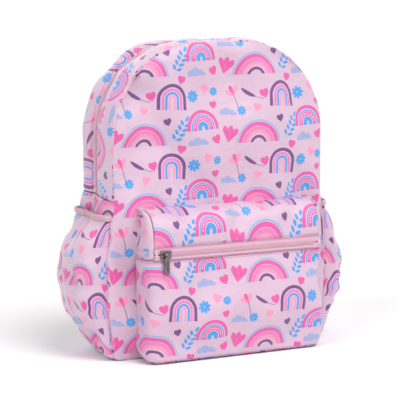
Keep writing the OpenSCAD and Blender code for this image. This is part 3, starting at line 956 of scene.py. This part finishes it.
SALMON_KIND, PINK_KIND, PURPLE_KIND = 0.5, 1.5, 2.5
PRINT = [
    (cloud, 19, [(128, 12, 4, 1, 0), (4, 52, -3, 0.9, 0)]),
    (long_leaf, 26, [(40, 78, -32, 1, 0)]),
    (sprig, 24, [(104, 29, 62, 1, 0)]),
    (tulip, 28, [(16, 82, 24, 1.1, 0)]),
    (bud, 18, [(6, 21, -14, 1, 0)]),
    (wide_rainbow, 40, [(52, 9, 0, 0.98, 0)]),
    (dotted_rainbow, 31, [(137, 33, 3, 0.95, 0)]),
    (tall_rainbow, 27, [(92, 73, -2, 1, 0)]),
    (daisy, 11, [(124, 76, 10, 1, 0), (28, 54, 0, 0.8, 0), (158, 82, 5, 0.72, 0)]),
    (heart, 10, [
        (64, 75, 14, 1, PINK_KIND), (143, 84, -18, 1, SALMON_KIND), (158, 14, 22, 1, PINK_KIND),
        (86, 40, 16, 0.8, PURPLE_KIND), (106, 2, -12, 0.9, PINK_KIND), (52, 56, -16, 0.9, SALMON_KIND),
        (156, 62, 10, 0.8, PINK_KIND),
    ]),
]


def printed_fabric():
    """The printed cloth: a pink ground with slow tone changes, the motifs, and a fine weave."""
    shader = Shader("printed_fabric", BASE_PINK)
    cloth = shader.cloth_place(1000 / PRINT_SCALE)
    tone = shader.noise(cloth, 0.03)
    shader.paint(rgb(210, 176, 206), tone.over(0.5, 0.7) * 0.35)
    for motif, reach, places in PRINT:
        motif(shader, *nearest(shader, cloth, places, reach))
    weave = shader.weave(cloth, 0.7)
    height = weave * 0.06 + shader.noise(cloth, 0.12, 3.0) * 1.6 + shader.noise(cloth, 0.035, 2.0) * 3.0
    return shader.finish(roughness=0.38, sheen=0.2, bump=height, bump_size=0.0006)


def plain_cloth(name, colour, tone_and_shade, roughness=0.75, pitch=1.2, rib=None):
    """A one-colour textile: slow tone changes, a weave, and ribs of the given pitch if any; shade is painted
    into the troughs of the ribs, or into the hollows of the weave where there are no ribs.
    """
    shader = Shader(name, colour)
    cloth = shader.cloth_place()
    shader.paint(tone_and_shade, shader.noise(cloth, 0.05, 3.0).over(0.5, 0.6) * 0.5)
    height = shader.weave(cloth, pitch)
    if rib:
        x, _, _ = shader.split(cloth)
        ridge = shader.math("SINE", x * (2 * math.pi / rib))
        # painted shade in the troughs between the ribs
        shader.paint(tone_and_shade, ridge.inside(-0.3, 0.8) * 0.7)
        height = height * 0.4 + ridge * 2
    else:
        # painted shade in the hollows of the weave
        shader.paint(tone_and_shade, height.inside(0, 1.0) * 0.25)
    return shader.finish(roughness=roughness, sheen=0.3, bump=height, bump_size=0.00015)


def zip_tape():
    """Woven tape: fine cross ribs, painted lighter on their tops as a highlight, and a stitched groove along
    each side of the coil, painted darker as shade.
    """
    shader = Shader("zip_tape", TAPE_PINK)
    cloth = shader.cloth_place()
    x, y, _ = shader.split(cloth)
    ridge = shader.math("SINE", x * (2 * math.pi / 0.9))
    from_coil = abs(y)
    groove = from_coil.inside(3.6, 0.5).most(from_coil.over(6.7, 0.5))
    # painted shade in the lowered grooves
    shader.paint(rgb(196, 140, 166), groove * 0.8)
    shader.paint(rgb(240, 204, 220), from_coil.inside(5.2, 0.7) * 0.8)
    # painted highlight on the tops of the ribs
    shader.paint(rgb(234, 190, 208), ridge.over(0.2, 0.8) * 0.3)
    return shader.finish(roughness=0.7, sheen=0.3, bump=ridge * 0.5 - groove * 2, bump_size=0.0002)


def back_mesh():
    """Spacer mesh: rows of small holes, with painted shade in them."""
    shader = Shader("back_mesh", rgb(240, 196, 214))
    cloth = shader.cloth_place()
    cells = shader.node("TexVoronoi", feature="F1")
    shader.feed(cells.inputs["Vector"], cloth)
    cells.inputs["Scale"].default_value = 0.36
    cells.inputs["Randomness"].default_value = 0.12
    distance = Val(shader, cells.outputs["Distance"])
    # painted shade in the holes
    shader.paint(rgb(202, 146, 174), distance.inside(0.28, 0.12))
    return shader.finish(roughness=0.85, sheen=0.3, bump=distance.over(0.3, 0.25), bump_size=0.0006)


def moulded(name, colour, roughness):
    """Smooth plastic or thread with a fine grain."""
    shader = Shader(name, colour)
    place = shader.node("TexCoord").outputs["Object"]
    grain = shader.noise(place, 900, 3.0)
    shader.paint(tuple(0.8 * c for c in colour[:3]) + (1,), shader.noise(place, 60).over(0.55, 0.5) * 0.25)
    return shader.finish(roughness=roughness, bump=grain, bump_size=0.00005)


def plated_metal():
    """Dark nickel plate with faint wear and a varied polish."""
    shader = Shader("zip_metal", rgb(134, 122, 124))
    place = shader.node("TexCoord").outputs["Object"]
    wear = shader.noise(place, 220, 4.0)
    shader.paint(rgb(84, 74, 78), wear.over(0.5, 0.3) * 0.6)
    polish = shader.noise(place, 500, 3.0) * 0.2 + 0.16
    return shader.finish(roughness=polish, metallic=1.0, bump=wear, bump_size=0.00004)


MATERIALS = {
    "printed_fabric": printed_fabric(),
    "back_mesh": back_mesh(),
    "lining_fabric": plain_cloth("lining_fabric", LINING_PINK, rgb(196, 128, 160), 0.7),
    "foam": plain_cloth("foam", rgb(238, 235, 228), rgb(220, 214, 204), 0.95, pitch=2.5),
    "zip_tape": zip_tape(),
    "zip_coil": moulded("zip_coil", COIL_PINK, 0.38),
    "zip_metal": plated_metal(),
    "elastic_binding": plain_cloth("elastic_binding", BINDING_PINK, rgb(222, 168, 186), 0.75, rib=1.9),
    "webbing": plain_cloth("webbing", WEB_PINK, rgb(208, 132, 166), 0.7, rib=2.2),
    "buckle_plastic": moulded("buckle_plastic", rgb(226, 150, 184), 0.35),
    "thread": moulded("thread", THREAD_PINK, 0.6),
}

# ---- pieces ----


def place_piece(obj, stands_for, body):
    """Hangs a finished piece on the body it moves with when that is a single body name, else bakes its place
    into its mesh; hides the CAD nodes it stands for.
    """
    if isinstance(body, str):
        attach(obj, body)
    else:
        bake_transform(obj)
    if stands_for:
        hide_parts(*stands_for)
    return obj


def make_mesh(name, points, faces, uv, slots):
    """A smooth-shaded object with print coordinates and the materials of its slots."""
    mesh = bpy.data.meshes.new(name)
    faces = faces if isinstance(faces, list) else faces.tolist()
    mesh.from_pydata(np.asarray(points).tolist(), [], faces)
    layer = mesh.uv_layers.new(name="print")
    index = np.empty(len(mesh.loops), int)
    mesh.loops.foreach_get("vertex_index", index)
    layer.data.foreach_set("uv", np.asarray(uv, float)[index].ravel())
    mesh.polygons.foreach_set("use_smooth", [True] * len(mesh.polygons))
    for slot in slots:
        mesh.materials.append(MATERIALS[slot])
    obj = bpy.data.objects.new(name, mesh)
    bpy.context.scene.collection.objects.link(obj)
    return obj


def subdivide(obj, levels):
    """Smooths a piece by subdivision."""
    modifier = obj.modifiers.new("smooth", "SUBSURF")
    modifier.levels = levels
    modifier.render_levels = levels


def thicken(obj, thick, offset):
    """Gives a sheet its thickness, inwards or half to each side."""
    modifier = obj.modifiers.new("thickness", "SOLIDIFY")
    modifier.thickness = thick
    modifier.offset = offset
    return modifier


FRONT_BEND = ("shell", "front_flap", (0, 0, BEND_START), (0, 0, BEND_END))
LINING_THICK = 0.0005


CLOTH_THICK = 0.0011


def sew(
    name, stands_for, body="shell", slot="printed_fabric", inner="lining_fabric",
    thick=CLOTH_THICK, smooth=1,
):
    """Turns a sheet into a piece of cloth with thickness, lined on its inner face."""
    sheet = SHEETS[name]
    obj = make_mesh(name, sheet.points.reshape(-1, 3), sheet.faces(), sheet.uv.reshape(-1, 2), [slot, inner])
    subdivide(obj, smooth)
    solid = thicken(obj, thick, -1)
    solid.material_offset = 1
    solid.use_even_offset = False
    return place_piece(obj, stands_for, body)


sew("front_panel", ["front_panel_lower", "front_panel_upper"], FRONT_BEND)
sew("front_gusset", ["front_gusset_ends", "front_gusset_upper"], FRONT_BEND)
for name in ("rear_gusset", "side_panel_left", "side_panel_right"):
    sew(name, [name])
sew("back_panel", ["back_panel"], slot="back_mesh")
sew("base_panel", ["base_panel"])
for name in ("pocket_face", "pocket_top", "pocket_side_left", "pocket_side_right", "pocket_bottom"):
    sew(name, ["front_" + name])
for name in ("side_pocket_left", "side_pocket_right"):
    sew(name, [name])
sew("back_lining", ["back_lining"], slot="lining_fabric", thick=LINING_THICK)
sew("back_foam", ["back_foam"], slot="foam", inner="foam", thick=0.004, smooth=0)
sew("flap_lining", ["flap_lining"], FRONT_BEND, slot="lining_fabric", thick=LINING_THICK)
sew("body_lining", ["body_lining"], slot="lining_fabric", thick=LINING_THICK)
sew("strap_yoke", ["strap_yoke"], thick=0.0012)


def sweep(path, sideways, upward, width, height, sides=10, square=2.0):
    """Vertices and faces of a closed bar swept along a path; square over 2 flattens its section.

    sideways and upward are unit vectors per path point, width and height full sizes per path point.
    """
    path = np.asarray(path, float)
    count = len(path)
    angle = np.arange(sides) * 2 * math.pi / sides
    c, s = np.cos(angle), np.sin(angle)
    px = np.sign(c) * np.abs(c) ** (2 / square) / 2
    py = np.sign(s) * np.abs(s) ** (2 / square) / 2
    width = np.broadcast_to(width, (count,))[:, None, None]
    height = np.broadcast_to(height, (count,))[:, None, None]
    sideways = np.broadcast_to(sideways, path.shape)[:, None]
    upward = np.broadcast_to(upward, path.shape)[:, None]
    rings = path[:, None] + sideways * width * px[None, :, None] + upward * height * py[None, :, None]
    run = run_along(path)
    girth = np.linspace(0, 1, sides, endpoint=False)[None, :] * 2 * (width + height)[:, :, 0]
    uv = np.stack([np.broadcast_to(run[:, None], girth.shape), girth], axis=-1)
    faces = tube_faces(count, sides).tolist()
    faces.append(list(range(sides))[::-1])
    faces.append(list(range((count - 1) * sides, count * sides)))
    return rings.reshape(-1, 3), faces, uv.reshape(-1, 2)


def gather(parts):
    """Joins several (vertices, faces, uv) into one."""
    points, faces, uvs, start = [], [], [], 0
    for p, f, u in parts:
        points.append(p)
        uvs.append(u)
        faces.extend([[index + start for index in face] for face in f])
        start += len(p)
    return np.concatenate(points), faces, np.concatenate(uvs)


def bar_piece(name, parts, slot, stands_for, body, smooth=1):
    """One piece made of swept bars."""
    points, faces, uv = gather(parts)
    obj = make_mesh(name, points, faces, uv, [slot])
    if smooth:
        subdivide(obj, smooth)
    return place_piece(obj, stands_for, body)


def frames_along(path, outward):
    """Unit directions outward from a path (made square to it) and across it."""
    along = unit(np.gradient(path, axis=0))
    outward = unit(outward - np.sum(outward * along, axis=1, keepdims=True) * along)
    return outward, np.cross(along, outward)


TAPE_THICK = 0.0008
TAPE_ROWS = 5


def tape_piece(name, path, across, near, far, stands_for, body):
    """A zip tape beside a path, from near to far across it."""
    offset = near + (far - near) * np.linspace(0, 1, TAPE_ROWS)[:, None, None]
    points = path[None] + across[None] * offset
    shape = points.shape[:2]
    run = np.broadcast_to(run_along(path), shape)
    uv = np.stack([run, np.broadcast_to(offset[:, :, 0], shape)], axis=-1)
    obj = make_mesh(name, points.reshape(-1, 3), grid_faces(*shape), uv.reshape(-1, 2), ["zip_tape"])
    thicken(obj, TAPE_THICK, 0)
    return place_piece(obj, stands_for, body)


# section of a tooth of the coil: across and outward from the edge of the tape
TOOTH = np.array([(-2.9, 0.2), (-2.5, 0.95), (-1.2, 1.25), (-0.2, 1.15), (0.45, 0.5)]) * 0.001
TOOTH_PITCH = 0.0017
TOOTH_R = 0.00052
TOOTH_SIDES = 6


def coil_piece(name, path, outward, across, sign, shift, stands_for, body):
    """One half of a coil: a row of rounded teeth over the edge of the tape."""
    run = run_along(path)
    at = np.arange(TOOTH_PITCH * (0.5 + shift), run[-1], TOOTH_PITCH)
    centre = read_at(at, run, path)
    out = read_at(at, run, outward)
    side = read_at(at, run, across) * sign
    along = np.cross(side, out)
    spine = centre[:, None] + side[:, None] * TOOTH[None, :, :1] + out[:, None] * TOOTH[None, :, 1:]
    slope = unit(np.gradient(TOOTH, axis=0))
    rise = side[:, None] * -slope[None, :, 1:] + out[:, None] * slope[None, :, :1]
    angle = np.arange(TOOTH_SIDES) * 2 * math.pi / TOOTH_SIDES
    ring = (
        spine[:, :, None]
        + along[:, None, None] * (TOOTH_R * np.cos(angle))[None, None, :, None]
        + rise[:, :, None] * (TOOTH_R * np.sin(angle))[None, None, :, None]
    )
    points = ring.reshape(-1, 3)
    per_tooth = len(TOOTH) * TOOTH_SIDES
    starts = np.arange(len(at)) * per_tooth
    faces = (tube_faces(len(TOOTH), TOOTH_SIDES)[None] + starts[:, None, None]).reshape(-1, 4).tolist()
    for start in starts.tolist():
        faces.append(list(range(start + TOOTH_SIDES - 1, start - 1, -1)))
        faces.append(list(range(start + per_tooth - TOOTH_SIDES, start + per_tooth)))
    obj = make_mesh(name, points, faces, points[:, [0, 2]], ["zip_coil"])
    return place_piece(obj, stands_for, body)


STITCH_PITCH = 0.0034
STITCH_LENGTH = 0.0024
STITCH_R = 0.00042
STITCH_LIFT = 0.0001
STITCH_ROW = 2


def stitches(name, path, outward, body):
    """A row of short raised stitches along a path."""
    run = run_along(path)
    share = np.array([-0.5, -0.32, 0, 0.32, 0.5])
    drop = np.array([-0.9, 0.2, 0.6, 0.2, -0.9]) * STITCH_R
    thick = np.array([0.5, 1, 1, 1, 0.5]) * STITCH_R
    parts = []
    for centre in np.arange(STITCH_PITCH / 2, run[-1] - STITCH_LENGTH / 2, STITCH_PITCH):
        spots = np.clip(centre + share * STITCH_LENGTH, 0, run[-1])
        thread = read_at(spots, run, path)
        out, across = frames_along(thread, read_at(spots, run, outward))
        thread = thread + out * (STITCH_LIFT + drop)[:, None]
        parts.append(sweep(thread, across, out, 2 * thick, 2 * thick, sides=5))
    return bar_piece(name, parts, "thread", [], body, smooth=0)


def edge_line(name, sheet_name, edge, body):
    """Stitches along a sheet, a few millimetres in from one of its edges."""
    sheet = SHEETS[sheet_name]
    row = edge_row(edge, STITCH_ROW)
    stitches(name, sheet.points[row], sheet.normals()[row], body)


TAPE_OVER = 0.001
TAPE_GAP = 0.0006


def zipper(prefix, path, outward, axis, half, coil_rows, halves):
    """Both tapes and both halves of the coil of a zip. The second half lies on the plus side of the axis.

    halves holds a word for each half, the endings of the CAD nodes it stands for, and its body.
    """
    out, across = frames_along(path, outward)
    if across[0, axis] < 0:
        across = -across
    widths = ((-half - TAPE_OVER, -TAPE_GAP), (TAPE_GAP, half + TAPE_OVER))
    for (word, endings, body), (near, far) in zip(halves, widths):
        name = prefix + "_tape_" + word
        tape_piece(name, path, across, near, far, [name + ending for ending in endings], body)
    path, out, across = path[coil_rows], out[coil_rows], across[coil_rows]
    for (word, endings, body), sign, shift in zip(halves, (1, -1), (0, 0.5)):
        name = prefix + "_coil_" + word
        coil_piece(name, path, out, across, sign, shift, [name + ending for ending in endings], body)


X_AXIS, Y_AXIS, Z_AXIS = np.eye(3)

# ---- main zip ----

d = np.linspace(ZIP_Z + 0.0005, ARCH - ZIP_Z - 0.0005, 240)
halves = (("front", ("", "_ends"), FRONT_BEND), ("rear", ("",), "shell"))
coil_rows = (d > COIL_Z) & (d < ARCH - COIL_Z)
zipper("main_zip", arch(d, ZIP_Y), radial(d), 1, (ZIP_BACK_Y - ZIP_FRONT_Y) / 2, coil_rows, halves)
edge_line("main_zip_stitch_front", "front_gusset", "r", FRONT_BEND)
edge_line("main_zip_stitch_rear", "rear_gusset", "l", "shell")

# ---- pocket zip ----

s = np.linspace(ZIP_S, GIRTH - ZIP_S, 160)
halves = (("lower", ("",), "shell"), ("upper", ("",), "shell"))
path = pocket_point(s, np.full_like(s, 1.5))
zipper("pocket_zip", path, -Y_AXIS, 2, (POCKET_ZIP_HIGH - POCKET_ZIP_LOW) / 2, slice(5, -5), halves)
edge_line("pocket_zip_stitch_lower", "pocket_face", "t", "shell")
edge_line("pocket_zip_stitch_upper", "pocket_top", "b", "shell")

# ---- rolled edge along the top of the front pocket ----

ROLL_SIZE = 0.0042
s = np.linspace(0, GIRTH, 150)
path = pocket_point(s, np.full_like(s, 2.985))
out, across = frames_along(path, [0.0, -0.6, 0.8])
size = ROLL_SIZE * (1 + 0.12 * np.sin(np.arange(len(path)) * 1.7))
bar_piece("pocket_top_roll", [sweep(path, across, out, size, size, sides=8)], "printed_fabric", [], "shell")

# ---- bindings of the side pockets ----

MOUTH_BINDING_SIZE = (0.0046, 0.0080)
MOUTH_BINDING_UP = 0.0028
MOUTH_BINDING_OUT = 0.0006
for side, word in SIDES:
    sheet = SHEETS["side_pocket_" + word]
    out, _ = frames_along(sheet.points[-1], sheet.normals()[-1])
    path = sheet.points[-1] + [0, 0, MOUTH_BINDING_UP] + out * MOUTH_BINDING_OUT
    bar = sweep(path, out, Z_AXIS, *MOUTH_BINDING_SIZE, sides=12, square=2.6)
    name = "side_pocket_binding_" + word
    bar_piece(name, [bar], "elastic_binding", [name], "shell")

# ---- straps, buckles, webbing and haul loop ----

WEB_W = 0.025
WEB_T = 0.0019
STRAP_TOP_X = 0.044
STRAP_TOP_W = 0.054
STRAP_TAPER = 0.012
STRAP_BOW = 0.004
STRAP_RUN_OVER = 0.003
FOAM_NARROWER = 0.008
BINDING_SIZE = (0.0032, 0.0046)
LOOP_INSIDE = 0.012
LOOP_T = 0.0014
RAIL_IN = 0.002
TAB_W = 0.029
TAB_THICK = 0.0045
# depth, from the middle of the strap, and height over the lock's bar of the webbing loop that holds the lock
LOOP_ROUND_BAR = (
    (0.0012, 0.006), (0.0033, 0.001), (0.0022, -0.0026), (-0.0008, -0.0034), (-0.0032, -0.0008),
    (-0.0022, 0.005),
)
# depth and height of the webbing's free end, from the foot of the lock
TAIL = (
    (0.0022, 0.014), (0.0046, 0.008), (0.0066, 0.002), (0.0072, -0.006), (0.0078, -0.016), (0.0086, -0.028),
    (0.0096, -0.040),
)


def ribbon(path, width, thick, sideways=X_AXIS, sides=16, square=5.0):
    """A flat bar along a path."""
    side, up = frames_along(path, sideways)
    return sweep(path, side, up, width, thick, sides=sides, square=square)


for side, word in SIDES:
    body = "strap_" + word
    cover_low, cover_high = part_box("strap_cover_" + word)
    lock_low, lock_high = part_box("ladder_lock_" + word)
    web_low, web_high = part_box("lower_webbing_" + word)
    mid_y = (cover_low.y + cover_high.y) / 2
    end_x = (lock_low.x + lock_high.x) / 2

    # padded cover, its foam and its bound edge
    top_x = side * STRAP_TOP_X
    t = np.concatenate([np.linspace(0, 0.9, 30), 0.9 + 0.1 * np.sin(np.linspace(0.1, 1, 9) * math.pi / 2)])
    middle = np.stack([
        top_x + (end_x - top_x) * t,
        mid_y + STRAP_BOW * np.sin(math.pi * t),
        cover_high.z + STRAP_RUN_OVER + (cover_low.z - cover_high.z - STRAP_RUN_OVER) * t,
    ], axis=1)
    rounding = np.sqrt(1 - (np.clip((t - 0.93) / 0.07, 0, 1) * 0.75) ** 2)
    full_w = (STRAP_TOP_W - STRAP_TAPER * t) * rounding
    pad_t = (cover_high.y - cover_low.y) * (0.55 + 0.45 * np.sin(math.pi * np.clip(t * 1.6, 0, 0.5)))
    pad_t = pad_t * (0.4 + 0.6 * rounding**2)
    bar_piece("strap_cover_" + word, [ribbon(middle, full_w, pad_t, sides=28, square=3.2)],
              "printed_fabric", ["strap_cover_" + word], body)
    inner_rows = slice(1, -2)
    foam_w = full_w[inner_rows] - FOAM_NARROWER
    foam = ribbon(middle[inner_rows], foam_w, pad_t[inner_rows] * 0.6, sides=16, square=4)
    bar_piece("strap_foam_" + word, [foam], "foam", ["strap_foam_" + word], body, smooth=0)
    sideways, _ = frames_along(middle, X_AXIS)
    half = full_w[:, None] / 2
    rim = np.concatenate([middle + sideways * half, (middle - sideways * half)[::-1]])
    out, across = frames_along(rim, np.concatenate([sideways, -sideways[::-1]]))
    binding = sweep(rim, out, across, *BINDING_SIZE, sides=8)
    bar_piece("strap_binding_" + word, [binding], "webbing", [], body)

    # webbing loop from inside the cover round the top bar of the lock
    bar_z = lock_high.z - RAIL_IN
    loop_z = cover_low.z + LOOP_INSIDE
    loop = [(end_x, mid_y + 0.0012, loop_z)]
    loop += [(end_x, mid_y + deep, bar_z + high) for deep, high in LOOP_ROUND_BAR]
    loop += [(end_x, mid_y - 0.0014, loop_z)]
    parts = [ribbon(np.array(loop), WEB_W - 0.001, LOOP_T)]
    bar_piece("ladder_loop_" + word, parts, "webbing", ["ladder_loop_" + word], body)

    # ladder lock: two rails and three bars
    rails = []
    rail_xs = (lock_low.x + RAIL_IN, lock_high.x - RAIL_IN)
    for x in rail_xs:
        path = np.linspace((x, mid_y, lock_low.z), (x, mid_y, lock_high.z), 5)
        rails.append(ribbon(path, 0.0038, 0.0046, sides=12, square=3.5))
    lock_z = (lock_low.z + lock_high.z) / 2
    bars = ((lock_low.z + RAIL_IN, 0.004, 0.004), (bar_z, 0.0036, 0.0036), (lock_z, 0.005, 0.0024))
    for z, tall, deep in bars:
        path = np.linspace((rail_xs[0], mid_y, z), (rail_xs[1], mid_y, z), 5)
        rails.append(ribbon(path, tall, deep, sideways=Z_AXIS, sides=12, square=2.5))
    bar_piece("ladder_lock_" + word, rails, "buckle_plastic", ["ladder_lock_" + word], body)

    # lower webbing from the lock to the tab, and its free end
    web_y = (web_low.y + web_high.y) / 2
    z = np.linspace(lock_low.z + 0.011, web_low.z - 0.006, 26)
    over_bar = np.exp(-((z - lock_low.z - 0.002) / 0.004) ** 2)
    y = web_y + 0.0035 * over_bar - 0.002 * np.clip((z - lock_low.z - 0.004) / 0.006, 0, 1)
    web = np.stack([np.full_like(z, end_x), y, z], axis=1)
    bar_piece("lower_webbing_" + word, [ribbon(web, WEB_W, WEB_T)], "webbing", ["lower_webbing_" + word],
              ("shell", body, (0, 0, web_low.z), (0, 0, lock_low.z - 0.004)))
    tail = np.array([(end_x, mid_y + deep, lock_low.z + high) for deep, high in TAIL])
    bar_piece("webbing_tail_" + word, [ribbon(tail, WEB_W - 0.001, WEB_T)], "webbing", [], body)

    # tab that anchors the webbing in the seam
    tab_low, tab_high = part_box("anchor_tab_" + word)
    t = np.linspace(0, 1, 12)
    foot_x = side * (max(abs(tab_low.x), abs(tab_high.x)) - TAB_W / 2 + 0.002)
    tab = np.stack([
        foot_x + (end_x - foot_x) * t,
        tab_low.y + 0.0025 + (web_y - tab_low.y - 0.0025) * t,
        tab_low.z - 0.002 + (tab_high.z + 0.004 - tab_low.z) * t,
    ], axis=1)
    parts = [sweep(tab, X_AXIS, Y_AXIS, TAB_W + 0.003 * (1 - t), TAB_THICK, sides=20, square=4)]
    bar_piece("anchor_tab_" + word, parts, "printed_fabric", ["anchor_tab_" + word], "shell")

# haul loop: two legs from the hinge line, two bends and a rolled handle between them
LEG_IN = 0.009
BEND_R = 0.016
LEG_LENGTH = 0.021
loop_low, loop_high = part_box("haul_loop")
hinge = np.array([0, Y_BACK + 0.003, frame_hinge_z("haul_loop_lift")])
reach = unit(np.array([0, loop_high.y - hinge[1], loop_low.z - hinge[2]]))
leg_x = loop_high.x - LEG_IN
bend = np.linspace(0, math.pi / 2, 9)
side_x = np.concatenate([[leg_x] * 6, leg_x - BEND_R + BEND_R * np.cos(bend), [0.008]])
rise = np.concatenate([np.linspace(-0.002, 0.019, 6), LEG_LENGTH + BEND_R * np.sin(bend), [0.0372]])
side_x = np.concatenate([-side_x, side_x[::-1]])
rise = np.concatenate([rise, rise[::-1]])
path = hinge + X_AXIS * side_x[:, None] + reach * rise[:, None]
flat = np.cross(X_AXIS, reach)
along = unit(np.gradient(path, axis=0))
roll = np.clip(rise / 0.03, 0, 1)
handle_w = 0.019 - 0.005 * roll
handle_t = 0.0026 + 0.003 * roll
handle = sweep(path, np.cross(along, flat), flat, handle_w, handle_t, sides=16, square=3)
bar_piece("haul_loop", [handle], "webbing", ["haul_loop"], "haul_loop")

edge_line("yoke_stitch_top", "strap_yoke", "t", "shell")
edge_line("yoke_stitch_low", "strap_yoke", "b", "shell")

# ---- stage and camera ----

WORLD_LIGHT = 0.345
SHEEN_LIGHT = 1.1
# name, place, spread in degrees and strength
SUNS = [
    ("key", (0.5, -1.5, 2.2), 40, 2.0),
    ("fill", (-2.0, -0.8, 1.8), 24, 0.85),
    ("back", (0.6, 2.2, 1.6), 60, 0.6),
]
FLOOR_SIZE = 600
FLOOR_Z = -0.0005
FLOOR_WHITE = 0.96


def stage_scene():
    """Pale floor, white background and three soft suns."""
    bpy.ops.mesh.primitive_plane_add(size=FLOOR_SIZE, location=(0, 0, FLOOR_Z))
    floor = bpy.context.object
    floor.name = "floor"
    pale = bpy.data.materials.new("floor")
    pale.use_nodes = True
    shade = pale.node_tree.nodes["Principled BSDF"]
    shade.inputs["Base Color"].default_value = (FLOOR_WHITE, FLOOR_WHITE, FLOOR_WHITE, 1)
    shade.inputs["Roughness"].default_value = 0.9
    floor.data.materials.append(pale)
    world = bpy.data.worlds.new("studio")
    bpy.context.scene.world = world
    world.use_nodes = True
    tree = world.node_tree
    shown = tree.nodes["Background"]
    shown.inputs[0].default_value = (1, 1, 1, 1)
    lit = tree.nodes.new("ShaderNodeBackground")
    lit.inputs[0].default_value = (1, 1, 1, 1)
    path = tree.nodes.new("ShaderNodeLightPath")
    # the white studio shows brighter in the fabric's sheen than it lights the cloth
    glow = tree.nodes.new("ShaderNodeMath")
    glow.operation = "MULTIPLY_ADD"
    tree.links.new(path.outputs["Is Glossy Ray"], glow.inputs[0])
    glow.inputs[1].default_value = SHEEN_LIGHT - WORLD_LIGHT
    glow.inputs[2].default_value = WORLD_LIGHT
    tree.links.new(glow.outputs[0], lit.inputs[1])
    mix = tree.nodes.new("ShaderNodeMixShader")
    tree.links.new(path.outputs["Is Camera Ray"], mix.inputs[0])
    tree.links.new(lit.outputs[0], mix.inputs[1])
    tree.links.new(shown.outputs[0], mix.inputs[2])
    tree.links.new(mix.outputs[0], tree.nodes["World Output"].inputs[0])
    for name, spot, spread, power in SUNS:
        light = bpy.data.lights.new(name, "SUN")
        light.angle = math.radians(spread)
        light.energy = power
        lamp = bpy.data.objects.new(name, light)
        lamp.location = spot
        lamp.rotation_euler = (-Vector(spot)).to_track_quat("-Z", "Y").to_euler()
        bpy.context.scene.collection.objects.link(lamp)
    bpy.context.scene.view_settings.view_transform = "Standard"


CAMERA_TURN = math.radians(28.5)
CAMERA_DROP = math.radians(7.37)
CAMERA_DISTANCE = 2.30
CAMERA_LENS = 156.6
CAMERA_AIM = Vector((0.0004, 0, 0.1899))


def add_camera():
    """Long-lens camera that looks at the middle of the bag from its front left."""
    look = Vector((
        math.sin(CAMERA_TURN) * math.cos(CAMERA_DROP),
        math.cos(CAMERA_TURN) * math.cos(CAMERA_DROP),
        -math.sin(CAMERA_DROP),
    ))
    data = bpy.data.cameras.new("camera")
    data.lens = CAMERA_LENS
    data.sensor_width = 36
    camera = bpy.data.objects.new("camera", data)
    camera.location = CAMERA_AIM - look * CAMERA_DISTANCE
    camera.rotation_euler = look.to_track_quat("-Z", "Y").to_euler()
    bpy.context.scene.collection.objects.link(camera)
    bpy.context.scene.camera = camera


METAL_NODES = ("main_slider", "main_pull", "pocket_slider", "pocket_pull")
STOP_NODES = ("main_zip_stops", "pocket_zip_stops")
METAL_BEVEL = 0.0003
for node in METAL_NODES + STOP_NODES:
    part = frame["nodes"][node]
    # the stops are painted like the coil; the sliders and pulls are bare metal
    look = "zip_coil" if node in STOP_NODES else "zip_metal"
    part.data.materials.clear()
    part.data.materials.append(MATERIALS[look])
    weld = part.modifiers.new("weld", "WELD")
    weld.merge_threshold = 0.00001
    bevel = part.modifiers.new("bevel", "BEVEL")
    bevel.width = METAL_BEVEL
    bevel.segments = 3
    bevel.angle_limit = math.radians(40)

stage_scene()
add_camera()
